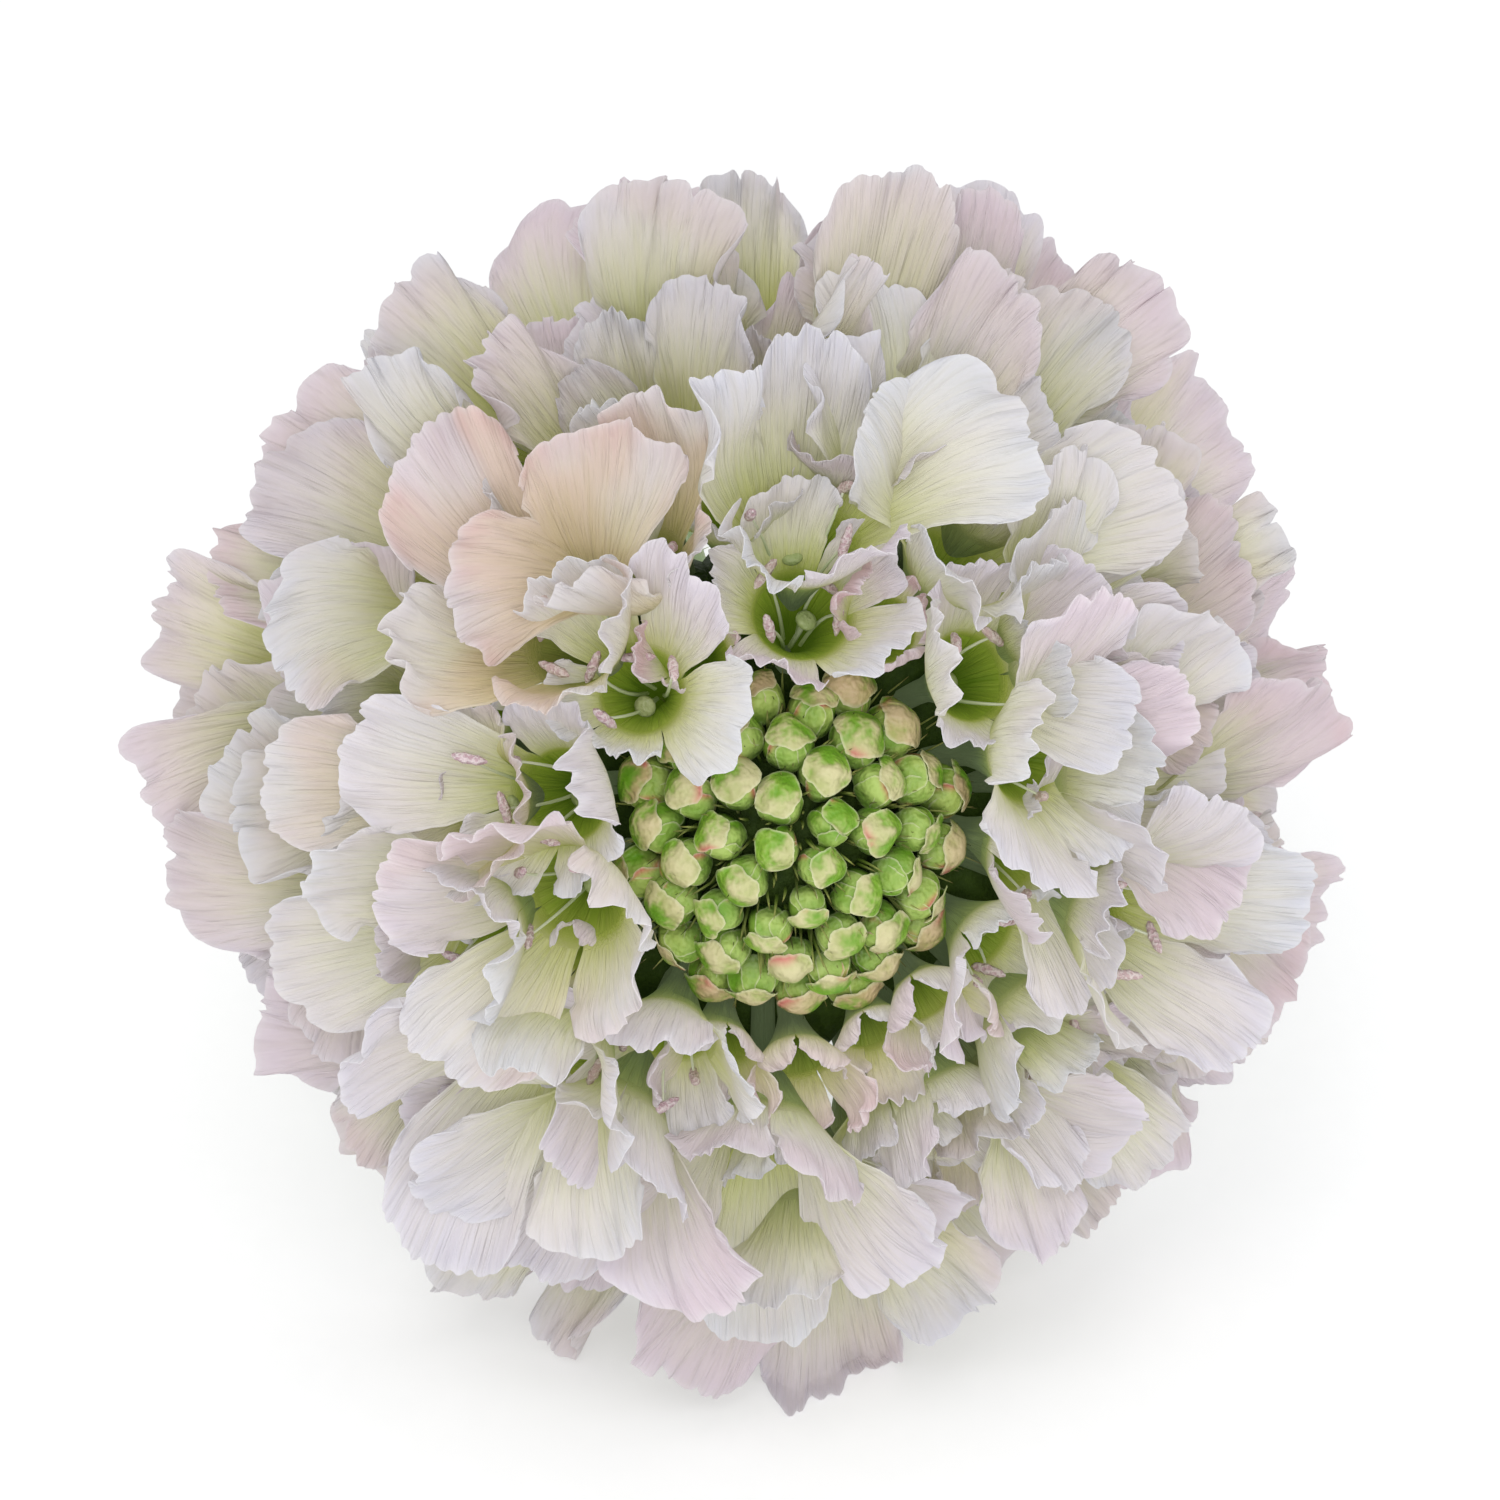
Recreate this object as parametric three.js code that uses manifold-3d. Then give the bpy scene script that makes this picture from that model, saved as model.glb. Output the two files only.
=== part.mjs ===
// A cut scabiosa flower lying on a flat surface: a double head of pale ruffled florets round a
// dome of green buds, with its involucre of bracts and a short bare stem.
// Millimetres, +Z up. The head faces -Y and a little up, and the stem runs back along +Y to its
// cut end, which rests on the surface.
import * as THREE from "three";
import { mergeVertices } from "three/addons/utils/BufferGeometryUtils.js";
import Module from "manifold-3d";

const wasm = await Module();
wasm.setup();

// Pose of the head: its middle over the surface, and how far its face looks up.
const HEAD_X = -0.27;
const HEAD_Y = -42.93;
const HEAD_HEIGHT = 28.7;
const FACE_UP = THREE.MathUtils.degToRad(16);

// Gap between neighbouring pieces, and thickness of the petals and of the bracts.
const GAP = 0.3;
const PETAL_THICK = 0.6;
const BRACT_THICK = 0.7;
// Edges under these lengths are left out, among the thin blades and elsewhere.
const BLADE_SHORTEST = 0.12;
const SHORTEST = 0.04;

// Receptacle, the ball that every floret and bud grows on.
const CORE_RADIUS = 4.9;
const CORE_OUTLINE = [[10, -4.2], [12.6, -2], [11.6, 1], [8.2, 1.6]];
const ROOT_DEPTH = 0.8;

// Rings of open florets, from the buds outwards. Angles are in degrees from the flower's axis:
// base is where the tube is rooted, leave and lean its first and last direction. The throat is
// how far the mouth of the funnel opens, and flare is where the lobes end up. fan is how far the
// side lobes turn to face the way the head faces, and ruffle scales their waves. The lobes of a
// fine ring, which are seen on their own, have one more row of points.
const RINGS = [
  { count: 15, turn: 302, base: 80, leave: 93, lean: 34, tube: 5.9, funnel: 3.6, throat: 38,
    lobe: 8.6, width: 8.8, flare: 58, fan: 8, ruffle: 0.6, fine: true },
  { count: 14, turn: 290, base: 92, leave: 86, lean: 56, tube: 8.0, funnel: 4.0, throat: 34,
    lobe: 10.2, width: 10.6, flare: 50, fan: 28, ruffle: 0.85, fine: true },
  { count: 13, turn: 301, base: 106, leave: 94, lean: 72, tube: 10.4, funnel: 4.0, throat: 30,
    lobe: 12.5, width: 12.0, flare: 42, fan: 46, ruffle: 1, fine: false },
  { count: 12, turn: 293, base: 122, leave: 106, lean: 88, tube: 10.6, funnel: 4.0, throat: 26,
    lobe: 14.6, width: 12.6, flare: 34, fan: 56, ruffle: 1, fine: true },
];
// Florets that grew shorter or longer than the rest of their ring: ring, place and share.
const GROWN = [
  [2, 0, 0.84], [2, 1, 0.86], [2, 2, 0.92], [2, 3, 0.84], [2, 5, 0.96], [2, 10, 0.93], [2, 12, 1.06],
  [3, 3, 0.86], [3, 6, 0.97], [3, 8, 0.86],
];
// Half-open florets that take places of the inner ring: their turns round the head with how far
// open each is, and how near to one of them a full floret may stand.
const YOUNG = {
  base: 80, leave: 88, lean: 30, tube: 6.2, funnel: 2.6, throat: 36, width: 5.4, curl: -40,
  fan: 0, ruffle: 0.6, fine: true,
};
const YOUNG_PLACES = 24;
const YOUNG_RING = 5;
const YOUNG_AT = [
  [204, 0.9], [288, 0.6], [307, 0.4], [268, 0.9], [248, 0.7], [113, 0.6], [66, 0.5],
];
const YOUNG_FLARE = [-6, 30];
const YOUNG_LOBE = [3.6, 5.2];
const YOUNG_REACH = 10;
// Share of its own sector of the corolla that a lobe may fill, so that neighbours don't cross.
const APART = 0.8;
const TUBE_RADIUS = 0.55;
const TUBE_FLARE = 12;
const TUBE_STEPS = 8;
const FOOT_TAPER = 0.4;

// Large lobes of a floret, round its own axis from the side away from the flower's middle. Each
// has its share of the ring's measures, and a number of its own for the draws.
const LOBES = [
  { at: -68, length: 0.92, width: 0.92, flare: 0.95, number: 14 },
  { at: 0, length: 1, width: 1, flare: 1, number: 10 },
  { at: 68, length: 0.92, width: 0.92, flare: 0.95, number: 11 },
];
const LOBE_SPAN = 34;
const LOBE_STEPS = 16;
// Points across a lobe, with how far along each lies: a middle row and a waved tip.
const MIDDLE_ROW = [-1, 1].map((across) => ({ across, along: 0.5 }));
const ROUND_TIP = [-0.8, 0, 0.8].map((across, n) => ({ across, along: n % 2 ? 1.02 : 0.94 }));
const WAVED_TIP = [-0.9, -0.3, 0.3, 0.9].map((across, n) => (
  { across, along: n % 2 ? 1.02 : 0.94 }
));

// Dome of buds.
const BUD_COUNT = 46;
const BUD_SPREAD = 57;
const BUD_LEVEL = 8.8;
const BUD_RADIUS = 0.95;
const BUD_GROWTH = 0.42;
const BUD_STRETCH = 1.25;
const BUD_TURN = 137.508;
const BUD_FLOOR = 8.2;
// Room that the florets leave for the buds.
const DOME_RADIUS = 11;
const DOME_EDGE = 5.2;
// Petals that reach the surface bend away along it, a little under its level, and are cut flat.
const PRESS_LEVEL = -0.35;
const PRESS_SOFTNESS = 0.3;
const PRESS_SPREAD = 0.85;

// Involucre: a cup under the receptacle with a socket for the stem, and two rows of bracts.
const CUP_EDGE = 146;
const CUP_OUTLINE = [[3.9, -4.9], [3.9, -6.0], [2.4, -8.0], [1.9, -9.2]];
const SOCKET_END = -6.8;
const BRACT_COUNT = 12;
const BRACT_ROOT = [3.4, -5.6];
const BRACT_LENGTH = 13;
const BRACT_WIDTH = 3.4;
// A bract's slope from the flower's axis, how far it bows, its keel, and its width along it.
const BRACT_SLOPE = [108, 113];
const BRACT_BOW = 10;
const BRACT_KEEL = 0.5;
const BRACT_ROWS = [[0, 0.5], [0.35, 1], [0.7, 0.72], [1, 0.08]];

// Stem: a slim tube with a lazy bend, cut square.
const STEM_RADIUS = 1.1;
const STEM_LENGTH = 98;
const STEM_SIDES = 8;
const STEM_STEPS = 16;
const STEM_BEND = 3;
const STEM_ROUTE = [0, 0.1, 0.3, 0.5, 0.7, 0.85, 1];

const petalWhite = new THREE.MeshStandardMaterial({ color: 0xefe6ea, roughness: 0.6, metalness: 0 });
const budGreen = new THREE.MeshStandardMaterial({ color: 0x9cb94c, roughness: 0.5, metalness: 0 });
const bractGreen = new THREE.MeshStandardMaterial({ color: 0x5f7d35, roughness: 0.7, metalness: 0 });
const stemGreen = new THREE.MeshStandardMaterial({ color: 0x6f8f45, roughness: 0.65, metalness: 0 });

const radians = THREE.MathUtils.degToRad;
const lerp = THREE.MathUtils.lerp;
const ramp = (from, to, x) => THREE.MathUtils.smoothstep(x, from, to);
const vector = (x, y, z) => new THREE.Vector3(x, y, z);

// A repeatable draw between two values, named by up to four whole numbers.
const DRAW_STEPS = [12.9898, 78.233, 37.719, 9.151];
function draw(low, high, ...key) {
  const mixed = key.reduce((sum, number, n) => sum + number * DRAW_STEPS[n], 0.5);
  const wave = Math.sin(mixed) * 43758.5453;
  return lerp(low, high, wave - Math.floor(wave));
}

// ---- Solids ----

function solidFrom(points, triangles) {
  const geometry = new THREE.BufferGeometry().setFromPoints(points);
  geometry.setIndex(triangles.flat());
  return solidOf(geometry);
}

function solidOf(geometry) {
  geometry.deleteAttribute("normal");
  geometry.deleteAttribute("uv");
  const merged = mergeVertices(geometry, 1e-4);
  return new wasm.Manifold(new wasm.Mesh({
    numProp: 3,
    vertProperties: new Float32Array(merged.attributes.position.array),
    triVerts: new Uint32Array(merged.index.array),
  }));
}

// Joins solids two by two, which keeps each step small.
function join(solids) {
  let left = solids;
  while (left.length > 1) {
    const next = [];
    for (let n = 0; n < left.length; n += 2) {
      next.push(n + 1 < left.length ? left[n].add(left[n + 1]) : left[n]);
    }
    left = next;
  }
  return left[0];
}

// The largest body of a solid: drops loose scraps and fills what is sealed.
function mainBody(solid) {
  return solid.decompose().reduce((best, body) => (body.volume() > best.volume() ? body : best));
}

// Takes out edges too short to matter, which joins leave behind, and keeps the surface closed.
function withoutShortEdges(points, triangles, shortest) {
  const around = points.map(() => new Set());
  triangles.forEach((triangle, t) => triangle.forEach((n) => around[n].add(t)));
  const neighbours = (n) => new Set([...around[n]].flatMap((t) => triangles[t]));
  const areaOf = ([a, b, c]) => (
    points[b].clone().sub(points[a]).cross(points[c].clone().sub(points[a]))
  );
  const canMove = (from, to) => [...around[from]].filter((t) => !around[to].has(t)).every((t) => {
    const before = areaOf(triangles[t]);
    const after = areaOf(triangles[t].map((n) => (n === from ? to : n)));
    return after.dot(before) > 0.2 * after.length() * before.length();
  });
  let moved = true;
  while (moved) {
    moved = false;
    points.forEach((point, from) => {
      for (const to of neighbours(from)) {
        if (to === from || point.distanceTo(points[to]) > shortest) continue;
        const shared = [...neighbours(from)].filter((n) => neighbours(to).has(n));
        if (shared.length !== 4 || !canMove(from, to)) continue;
        [...around[from]].forEach((t) => {
          if (around[to].has(t)) {
            triangles[t].forEach((n) => around[n].delete(t));
            triangles[t] = null;
          } else {
            triangles[t] = triangles[t].map((n) => (n === from ? to : n));
            around[to].add(t);
          }
        });
        around[from].clear();
        moved = true;
        break;
      }
    });
  }
  return triangles.filter((triangle) => triangle);
}

function meshOf(name, solid, material, shortest = SHORTEST) {
  const made = solid.getMesh();
  const points = [];
  for (let n = 0; n < made.vertProperties.length; n += 3) {
    points.push(vector(...made.vertProperties.slice(n, n + 3)));
  }
  const triangles = [];
  for (let n = 0; n < made.triVerts.length; n += 3) {
    triangles.push([...made.triVerts.slice(n, n + 3)]);
  }
  const kept = withoutShortEdges(points, triangles, shortest);
  const geometry = new THREE.BufferGeometry().setFromPoints(points);
  geometry.setIndex(kept.flat());
  geometry.computeVertexNormals();
  const mesh = new THREE.Mesh(geometry, material);
  mesh.name = name;
  return mesh;
}

// The surface that the flower lies on, as a block in the head's own frame.
function surfaceBlock(headMatrix) {
  const block = new THREE.BoxGeometry(600, 600, 60).translate(0, 0, -30);
  return solidOf(block.applyMatrix4(headMatrix.clone().invert()));
}

// ---- Florets ----

// Direction at an angle from the flower's axis, in the half-plane at a turn round it.
function slanted(angle, turn) {
  return vector(Math.sin(angle) * Math.cos(turn), Math.sin(angle) * Math.sin(turn), Math.cos(angle));
}

function grownShare(r, i) {
  const found = GROWN.find(([ring, place]) => ring === r && place === i);
  return found ? found[2] : 1;
}

// Where a floret is rooted, where its funnel starts and how it is turned.
function floretFrame(ring, r, i) {
  const turn = radians(ring.turn + (360 / ring.count) * (i + draw(-0.22, 0.22, r, i, 1)));
  const base = radians(ring.base + draw(-4, 4, r, i, 2));
  const leave = radians(ring.leave + draw(-4, 4, r, i, 3));
  const lean = radians(ring.lean + draw(-7, 7, r, i, 4));
  const grown = grownShare(r, i);
  const tube = ring.tube * draw(0.9, 1.08, r, i, 5) * grown;
  const root = slanted(base, turn).multiplyScalar(CORE_RADIUS * ROOT_DEPTH);
  const mouth = root.clone();
  for (let n = 0; n < TUBE_STEPS; n++) {
    const angle = lerp(leave, lean, (n + 0.5) / TUBE_STEPS);
    mouth.addScaledVector(slanted(angle, turn), tube / TUBE_STEPS);
  }
  const axis = slanted(lean, turn);
  const side = slanted(lean + Math.PI / 2, turn);
  side.applyAxisAngle(axis, radians(draw(-18, 18, r, i, 6)));
  const cross = axis.clone().cross(side);
  const size = draw(0.86, 1.1, r, i, 7) * grown;
  return { ring, r, i, turn, root, mouth, axis, side, cross, size };
}

// Radius and height along the funnel, from 0 at the tube to 1 at the throat.
function funnelAt(floret, share) {
  const start = radians(TUBE_FLARE);
  const open = radians(floret.ring.throat) - start;
  const length = floret.ring.funnel * floret.size;
  const angle = start + open * share;
  return {
    radius: TUBE_RADIUS + (length * (Math.cos(start) - Math.cos(angle))) / open,
    height: (length * (Math.sin(angle) - Math.sin(start))) / open,
  };
}

function funnelPoint(floret, share, turn) {
  const { radius, height } = funnelAt(floret, share);
  return floret.mouth.clone()
    .addScaledVector(floret.side, Math.cos(turn) * radius)
    .addScaledVector(floret.cross, Math.sin(turn) * radius)
    .addScaledVector(floret.axis, height);
}

// One lobe's own measures, drawn once.
function lobeFrame(floret, lobe) {
  const { ring, r, i, size } = floret;
  const key = [r, i, lobe.number];
  const turn = radians(lobe.at);
  return {
    length: ring.lobe * lobe.length * size * draw(0.88, 1.12, ...key, 1),
    half: (ring.width * lobe.width * size * draw(0.88, 1.12, ...key, 2)) / 2,
    lean: radians(draw(-8, 8, ...key, 3)),
    flare: radians(ring.flare * lobe.flare + draw(-14, 14, ...key, 4)),
    curl: radians(draw(-20, 34, ...key, 5) + (ring.curl ?? 0)),
    cup: draw(-0.02, 0.12, ...key, 6),
    twist: radians(draw(-20, 20, ...key, 7)),
    fan: radians(-ring.fan * Math.sign(lobe.at)),
    sway: draw(-0.1, 0.1, ...key, 8),
    waves: draw(1.3, 2.2, ...key, 9),
    phase: draw(0, 2 * Math.PI, ...key, 10),
    ruffle: draw(0.35, 0.8, ...key, 11) * ring.ruffle,
    outward: floret.side.clone().multiplyScalar(Math.cos(turn))
      .addScaledVector(floret.cross, Math.sin(turn)),
    across: floret.cross.clone().multiplyScalar(Math.cos(turn))
      .addScaledVector(floret.side, -Math.sin(turn)),
  };
}

// Middle line of a lobe: how far it has opened, its radius and its height over the tube's end.
function midline(floret, lobe, share) {
  const throat = radians(floret.ring.throat);
  const opened = (at) => lerp(throat, lobe.flare, ramp(0, 0.7, at)) + lobe.curl * ramp(0.5, 1, at);
  const start = funnelAt(floret, 1);
  let { radius, height } = start;
  for (let n = 0; n < LOBE_STEPS; n++) {
    const angle = opened((share * (n + 0.5)) / LOBE_STEPS);
    radius += (Math.sin(angle) * share * lobe.length) / LOBE_STEPS;
    height += (Math.cos(angle) * share * lobe.length) / LOBE_STEPS;
  }
  return { angle: opened(share), radius, height, throatRadius: start.radius };
}

// A point of a lobe: across from -1 to 1, along from 0 at the throat to 1 at the tip.
function lobePoint(floret, lobe, across, along) {
  const rounded = 0.1 * across ** 2 + 0.26 * across ** 4;
  const share = along * (1 - rounded * along);
  const { angle, radius, height, throatRadius } = midline(floret, lobe, share);
  const span = radians(LOBE_SPAN);
  const wanted = lerp(span * throatRadius, lobe.half, ramp(0, 0.75, share));
  const half = Math.min(wanted, span * lerp(throatRadius, radius, APART));
  const bend = lerp(1 / throatRadius, lobe.cup, ramp(0, 0.5, share));
  const arc = bend * half * across;
  let x = half * across;
  let lift = 0;
  if (Math.abs(bend) > 1e-3) {
    x = Math.sin(arc) / bend;
    lift = (1 - Math.cos(arc)) / bend;
  }
  const turned = lobe.twist * share ** 2 + lobe.fan * ramp(0.05, 0.6, share);
  const swung = [x * Math.cos(turned) - lift * Math.sin(turned),
    x * Math.sin(turned) + lift * Math.cos(turned)];
  const wave = Math.sin(lobe.waves * Math.PI * across + lobe.phase);
  const ruffle = lobe.ruffle * (lobe.half / 4) * ramp(0.3, 1, share) * wave
    * (0.35 + 0.65 * Math.abs(across));
  x = swung[0] + (lobe.sway + Math.sin(lobe.lean) * 0.3) * lobe.length * share ** 2;
  lift = swung[1] + ruffle;
  const upright = ramp(0, 0.5, share);
  const normal = lobe.outward.clone().multiplyScalar(-lerp(1, Math.cos(angle), upright))
    .addScaledVector(floret.axis, Math.sin(angle) * upright)
    .normalize();
  return floret.mouth.clone()
    .addScaledVector(lobe.outward, radius)
    .addScaledVector(floret.axis, height)
    .addScaledVector(lobe.across, x)
    .addScaledVector(normal, lift);
}

// Moves a point out of the buds' room and up off the surface.
function settle(point, back) {
  const settled = point.clone();
  const reach = Math.hypot(point.x, point.y);
  const room = domeRoom(point.z);
  if (reach < room) {
    settled.x *= room / reach;
    settled.y *= room / reach;
  }
  const up = vector(0, Math.cos(FACE_UP), Math.sin(FACE_UP));
  const behind = vector(0, Math.sin(FACE_UP), -Math.cos(FACE_UP));
  const level = HEAD_HEIGHT + settled.dot(up);
  const depth = (level - PRESS_LEVEL) / PRESS_SOFTNESS;
  const pressed = PRESS_LEVEL + PRESS_SOFTNESS * Math.log1p(Math.exp(Math.min(depth, 40)));
  if (depth < 6) {
    settled.addScaledVector(up, pressed - level);
    settled.addScaledVector(behind, back * PRESS_SPREAD * Math.max(0, PRESS_LEVEL - level));
  }
  return settled;
}

// Radius that the buds need at a height over the middle of the receptacle.
function domeRoom(height) {
  if (height <= 0 || height >= DOME_RADIUS) return 0;
  if (height >= DOME_EDGE) return Math.sqrt(DOME_RADIUS ** 2 - height ** 2);
  const rim = Math.sqrt(DOME_RADIUS ** 2 - DOME_EDGE ** 2);
  return lerp(CORE_RADIUS + GAP, rim, height / DOME_EDGE);
}

// Fills between two rows of a sheet, of any lengths. Rows run anticlockwise round the funnel.
function bridge(low, high) {
  const triangles = [];
  let a = 0;
  let b = 0;
  while (a < low.length - 1 || b < high.length - 1) {
    if ((a + 1) * (high.length - 1) <= (b + 1) * (low.length - 1)) {
      triangles.push([low[a], high[b], low[a + 1]]);
      a += 1;
    } else {
      triangles.push([low[a], high[b], high[b + 1]]);
      b += 1;
    }
  }
  return triangles;
}

// The corolla's middle sheet: the funnel's outer side from tube to throat, and the lobes on it.
// Triangles wind anticlockwise seen from inside the funnel. The first row is the tube's end.
function corollaSheet(floret) {
  const points = [];
  const put = (point) => points.push(point) - 1;
  const edges = [-3, -1, 1, 3].map((side) => radians(side * LOBE_SPAN));
  const tubeRow = [edges[0], 0, edges[3]].map((turn) => put(funnelPoint(floret, 0, turn)));
  const mouth = edges.map((turn) => put(funnelPoint(floret, 1, turn)));
  const triangles = bridge(tubeRow, mouth);
  LOBES.forEach((shape, n) => {
    const lobe = lobeFrame(floret, shape);
    const rowOf = (row) => row.map((at) => put(lobePoint(floret, lobe, at.across, at.along)));
    let low = [mouth[n], mouth[n + 1]];
    const rows = floret.ring.fine ? [MIDDLE_ROW, ROUND_TIP] : [WAVED_TIP];
    rows.forEach((row) => {
      const high = rowOf(row);
      triangles.push(...bridge(low, high));
      low = high;
    });
  });
  return { points, triangles, tubeRow };
}

// Normals of a sheet at its points.
function sheetNormals(points, triangles) {
  const normals = points.map(() => vector(0, 0, 0));
  triangles.forEach(([a, b, c]) => {
    const normal = points[b].clone().sub(points[a]).cross(points[c].clone().sub(points[a]));
    [a, b, c].forEach((n) => normals[n].add(normal));
  });
  return normals.map((normal) => normal.normalize());
}

// Edges of a sheet that only one triangle has, in its winding.
function openEdges(triangles) {
  const key = (a, b) => a + "_" + b;
  const sides = triangles.flatMap(([a, b, c]) => [[a, b], [b, c], [c, a]]);
  const known = new Set(sides.map(([a, b]) => key(a, b)));
  return sides.filter(([a, b]) => !known.has(key(b, a)));
}

// Thickens a sheet to both sides. closed holds the edges that get no rim of their own.
function thickened(points, triangles, thick, closed = new Set()) {
  const normals = sheetNormals(points, triangles);
  const count = points.length;
  const face = points.map((point, n) => point.clone().addScaledVector(normals[n], thick / 2));
  const back = points.map((point, n) => point.clone().addScaledVector(normals[n], -thick / 2));
  const turned = triangles.map(([a, b, c]) => [a + count, c + count, b + count]);
  const rim = openEdges(triangles)
    .filter(([a, b]) => !(closed.has(a) && closed.has(b)))
    .flatMap(([a, b]) => [[b, a, a + count], [b, a + count, b + count]]);
  return { points: [...face, ...back], triangles: [...triangles, ...turned, ...rim], count };
}

// One floret: a three-sided tube rooted in the receptacle, and its corolla.
function floretSolid(floret) {
  const sheet = corollaSheet(floret);
  const back = floret.r === RINGS.length - 1 ? 1 : -1;
  const middle = sheet.points.map((point) => settle(point, back));
  const { points, triangles, count } = thickened(middle, sheet.triangles, PETAL_THICK,
    new Set(sheet.tubeRow));
  const inner = sheet.tubeRow;
  const outer = inner.map((n) => n + count);
  const foot = outer.map((n) => (
    points.push(floret.root.clone().lerp(points[n], FOOT_TAPER)) - 1
  ));
  [[0, 1], [1, 2], [2, 0]].forEach(([k, next]) => {
    triangles.push([foot[k], foot[next], outer[next]], [foot[k], outer[next], outer[k]]);
  });
  triangles.push([foot[0], foot[2], foot[1]], [inner[0], inner[1], inner[2]]);
  triangles.push([inner[0], inner[2], outer[2]], [inner[0], outer[2], outer[0]]);
  return solidFrom(points, triangles);
}

// The middle of the head, where the tubes stand side by side, as one body round the receptacle.
function core() {
  const edge = radians(CUP_EDGE - 4);
  const ball = (angle) => vector(CORE_RADIUS * Math.sin(angle), CORE_RADIUS * Math.cos(angle), 0);
  const profile = [vector(0, -CORE_RADIUS, 0), ball((Math.PI + edge) / 2), ball(edge)];
  CORE_OUTLINE.forEach(([r, z]) => profile.push(vector(r, z, 0)));
  profile.push(ball(Math.PI / 3), ball(Math.PI / 6), vector(0, CORE_RADIUS, 0));
  return solidOf(new THREE.LatheGeometry(profile, 20).rotateX(Math.PI / 2));
}

// The frame of a half-open floret: the more it has opened, the longer and flatter its lobes.
function youngFrame([turn, opened], i) {
  const ring = {
    ...YOUNG,
    count: YOUNG_PLACES,
    turn: turn - (360 / YOUNG_PLACES) * i,
    flare: lerp(...YOUNG_FLARE, opened),
    lobe: lerp(...YOUNG_LOBE, opened),
  };
  return floretFrame(ring, YOUNG_RING, i);
}

// Whether a place of the inner ring belongs to a half-open floret.
function isTaken({ r, turn }) {
  const cosines = YOUNG_AT.map(([at]) => Math.cos(turn - radians(at)));
  return r === 0 && Math.max(...cosines) > Math.cos(radians(YOUNG_REACH));
}

function makeFlorets(surface) {
  const open = RINGS.flatMap((ring, r) => (
    Array.from({ length: ring.count }, (_, i) => floretFrame(ring, r, i))
  )).filter((floret) => !isTaken(floret));
  const florets = [...open, ...YOUNG_AT.map(youngFrame)].map(floretSolid);
  const head = join([core(), ...florets]).subtract(surface);
  return meshOf("florets", mainBody(head), petalWhite, BLADE_SHORTEST);
}

// ---- Buds ----

function budSolid(n) {
  const share = n / BUD_COUNT;
  const angle = radians(BUD_SPREAD) * Math.sqrt((n + 0.35) / BUD_COUNT);
  const axis = slanted(angle, radians(BUD_TURN) * n);
  const radius = BUD_RADIUS + BUD_GROWTH * Math.sqrt(share);
  const bud = new THREE.SphereGeometry(radius, 6, 4).scale(1, BUD_STRETCH, 1);
  const stand = new THREE.Quaternion().setFromUnitVectors(vector(0, 1, 0), axis);
  bud.applyQuaternion(stand);
  const at = axis.multiplyScalar(BUD_LEVEL);
  return solidOf(bud.translate(at.x, at.y, at.z));
}

// The crown of the receptacle under the buds: a thick cap with the core's own curve below.
function crown() {
  const steps = 5;
  const edge = radians(BUD_SPREAD + 4);
  const ball = (radius, angle) => vector(angle ? radius * Math.sin(angle) : 0, radius * Math.cos(angle), 0);
  const profile = [];
  for (let n = 0; n <= steps; n++) profile.push(ball(CORE_RADIUS + GAP, (edge * n) / steps));
  for (let n = steps; n >= 0; n--) profile.push(ball(BUD_FLOOR, (edge * n) / steps));
  return solidOf(new THREE.LatheGeometry(profile, 16).rotateX(Math.PI / 2));
}

function makeBuds() {
  const buds = Array.from({ length: BUD_COUNT }, (_, n) => budSolid(n));
  return meshOf("buds", mainBody(join([crown(), ...buds])), budGreen);
}

// ---- Involucre and stem ----

function cup() {
  const steps = 4;
  const radius = CORE_RADIUS + GAP;
  const profile = [];
  for (let n = 0; n <= steps; n++) {
    const angle = radians(lerp(180, CUP_EDGE, n / steps));
    profile.push(vector(n ? radius * Math.sin(angle) : 0, radius * Math.cos(angle), 0));
  }
  CUP_OUTLINE.forEach(([r, z]) => profile.push(vector(r, z, 0)));
  const socket = STEM_RADIUS + GAP;
  const mouth = CUP_OUTLINE[CUP_OUTLINE.length - 1][1];
  profile.push(vector(socket, mouth, 0), vector(socket, SOCKET_END, 0), vector(0, SOCKET_END, 0));
  return solidOf(new THREE.LatheGeometry(profile.reverse(), 20).rotateX(Math.PI / 2));
}

// A lance-shaped bract that leaves the cup and bows away from the head.
function bractSolid(n) {
  const turn = (2 * Math.PI * (n + draw(-0.15, 0.15, 7, n))) / BRACT_COUNT;
  const length = BRACT_LENGTH * (n % 2 ? 0.82 : 1) * draw(0.92, 1.08, 7, n, 1);
  const slope = radians(draw(...BRACT_SLOPE, 7, n, 2));
  const across = slanted(Math.PI / 2, turn + Math.PI / 2);
  const points = BRACT_ROWS.flatMap(([along, wide]) => {
    const bow = slope + radians(BRACT_BOW) * along;
    const middle = slanted(Math.PI / 2, turn).multiplyScalar(BRACT_ROOT[0])
      .add(vector(0, 0, BRACT_ROOT[1]))
      .addScaledVector(slanted(bow, turn), length * along);
    const keel = slanted(bow + Math.PI / 2, turn).multiplyScalar(BRACT_KEEL * wide);
    const half = (BRACT_WIDTH * wide) / 2;
    return [-1, 0, 1].map((s) => middle.clone().addScaledVector(across, half * s)
      .addScaledVector(keel, s ? 0 : 1));
  });
  const triangles = [];
  for (let row = 0; row < BRACT_ROWS.length - 1; row++) {
    for (let s = 0; s < 2; s++) {
      const a = row * 3 + s;
      triangles.push([a, a + 1, a + 4], [a, a + 4, a + 3]);
    }
  }
  const shell = thickened(points, triangles, BRACT_THICK);
  return solidFrom(shell.points, shell.triangles);
}

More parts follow.
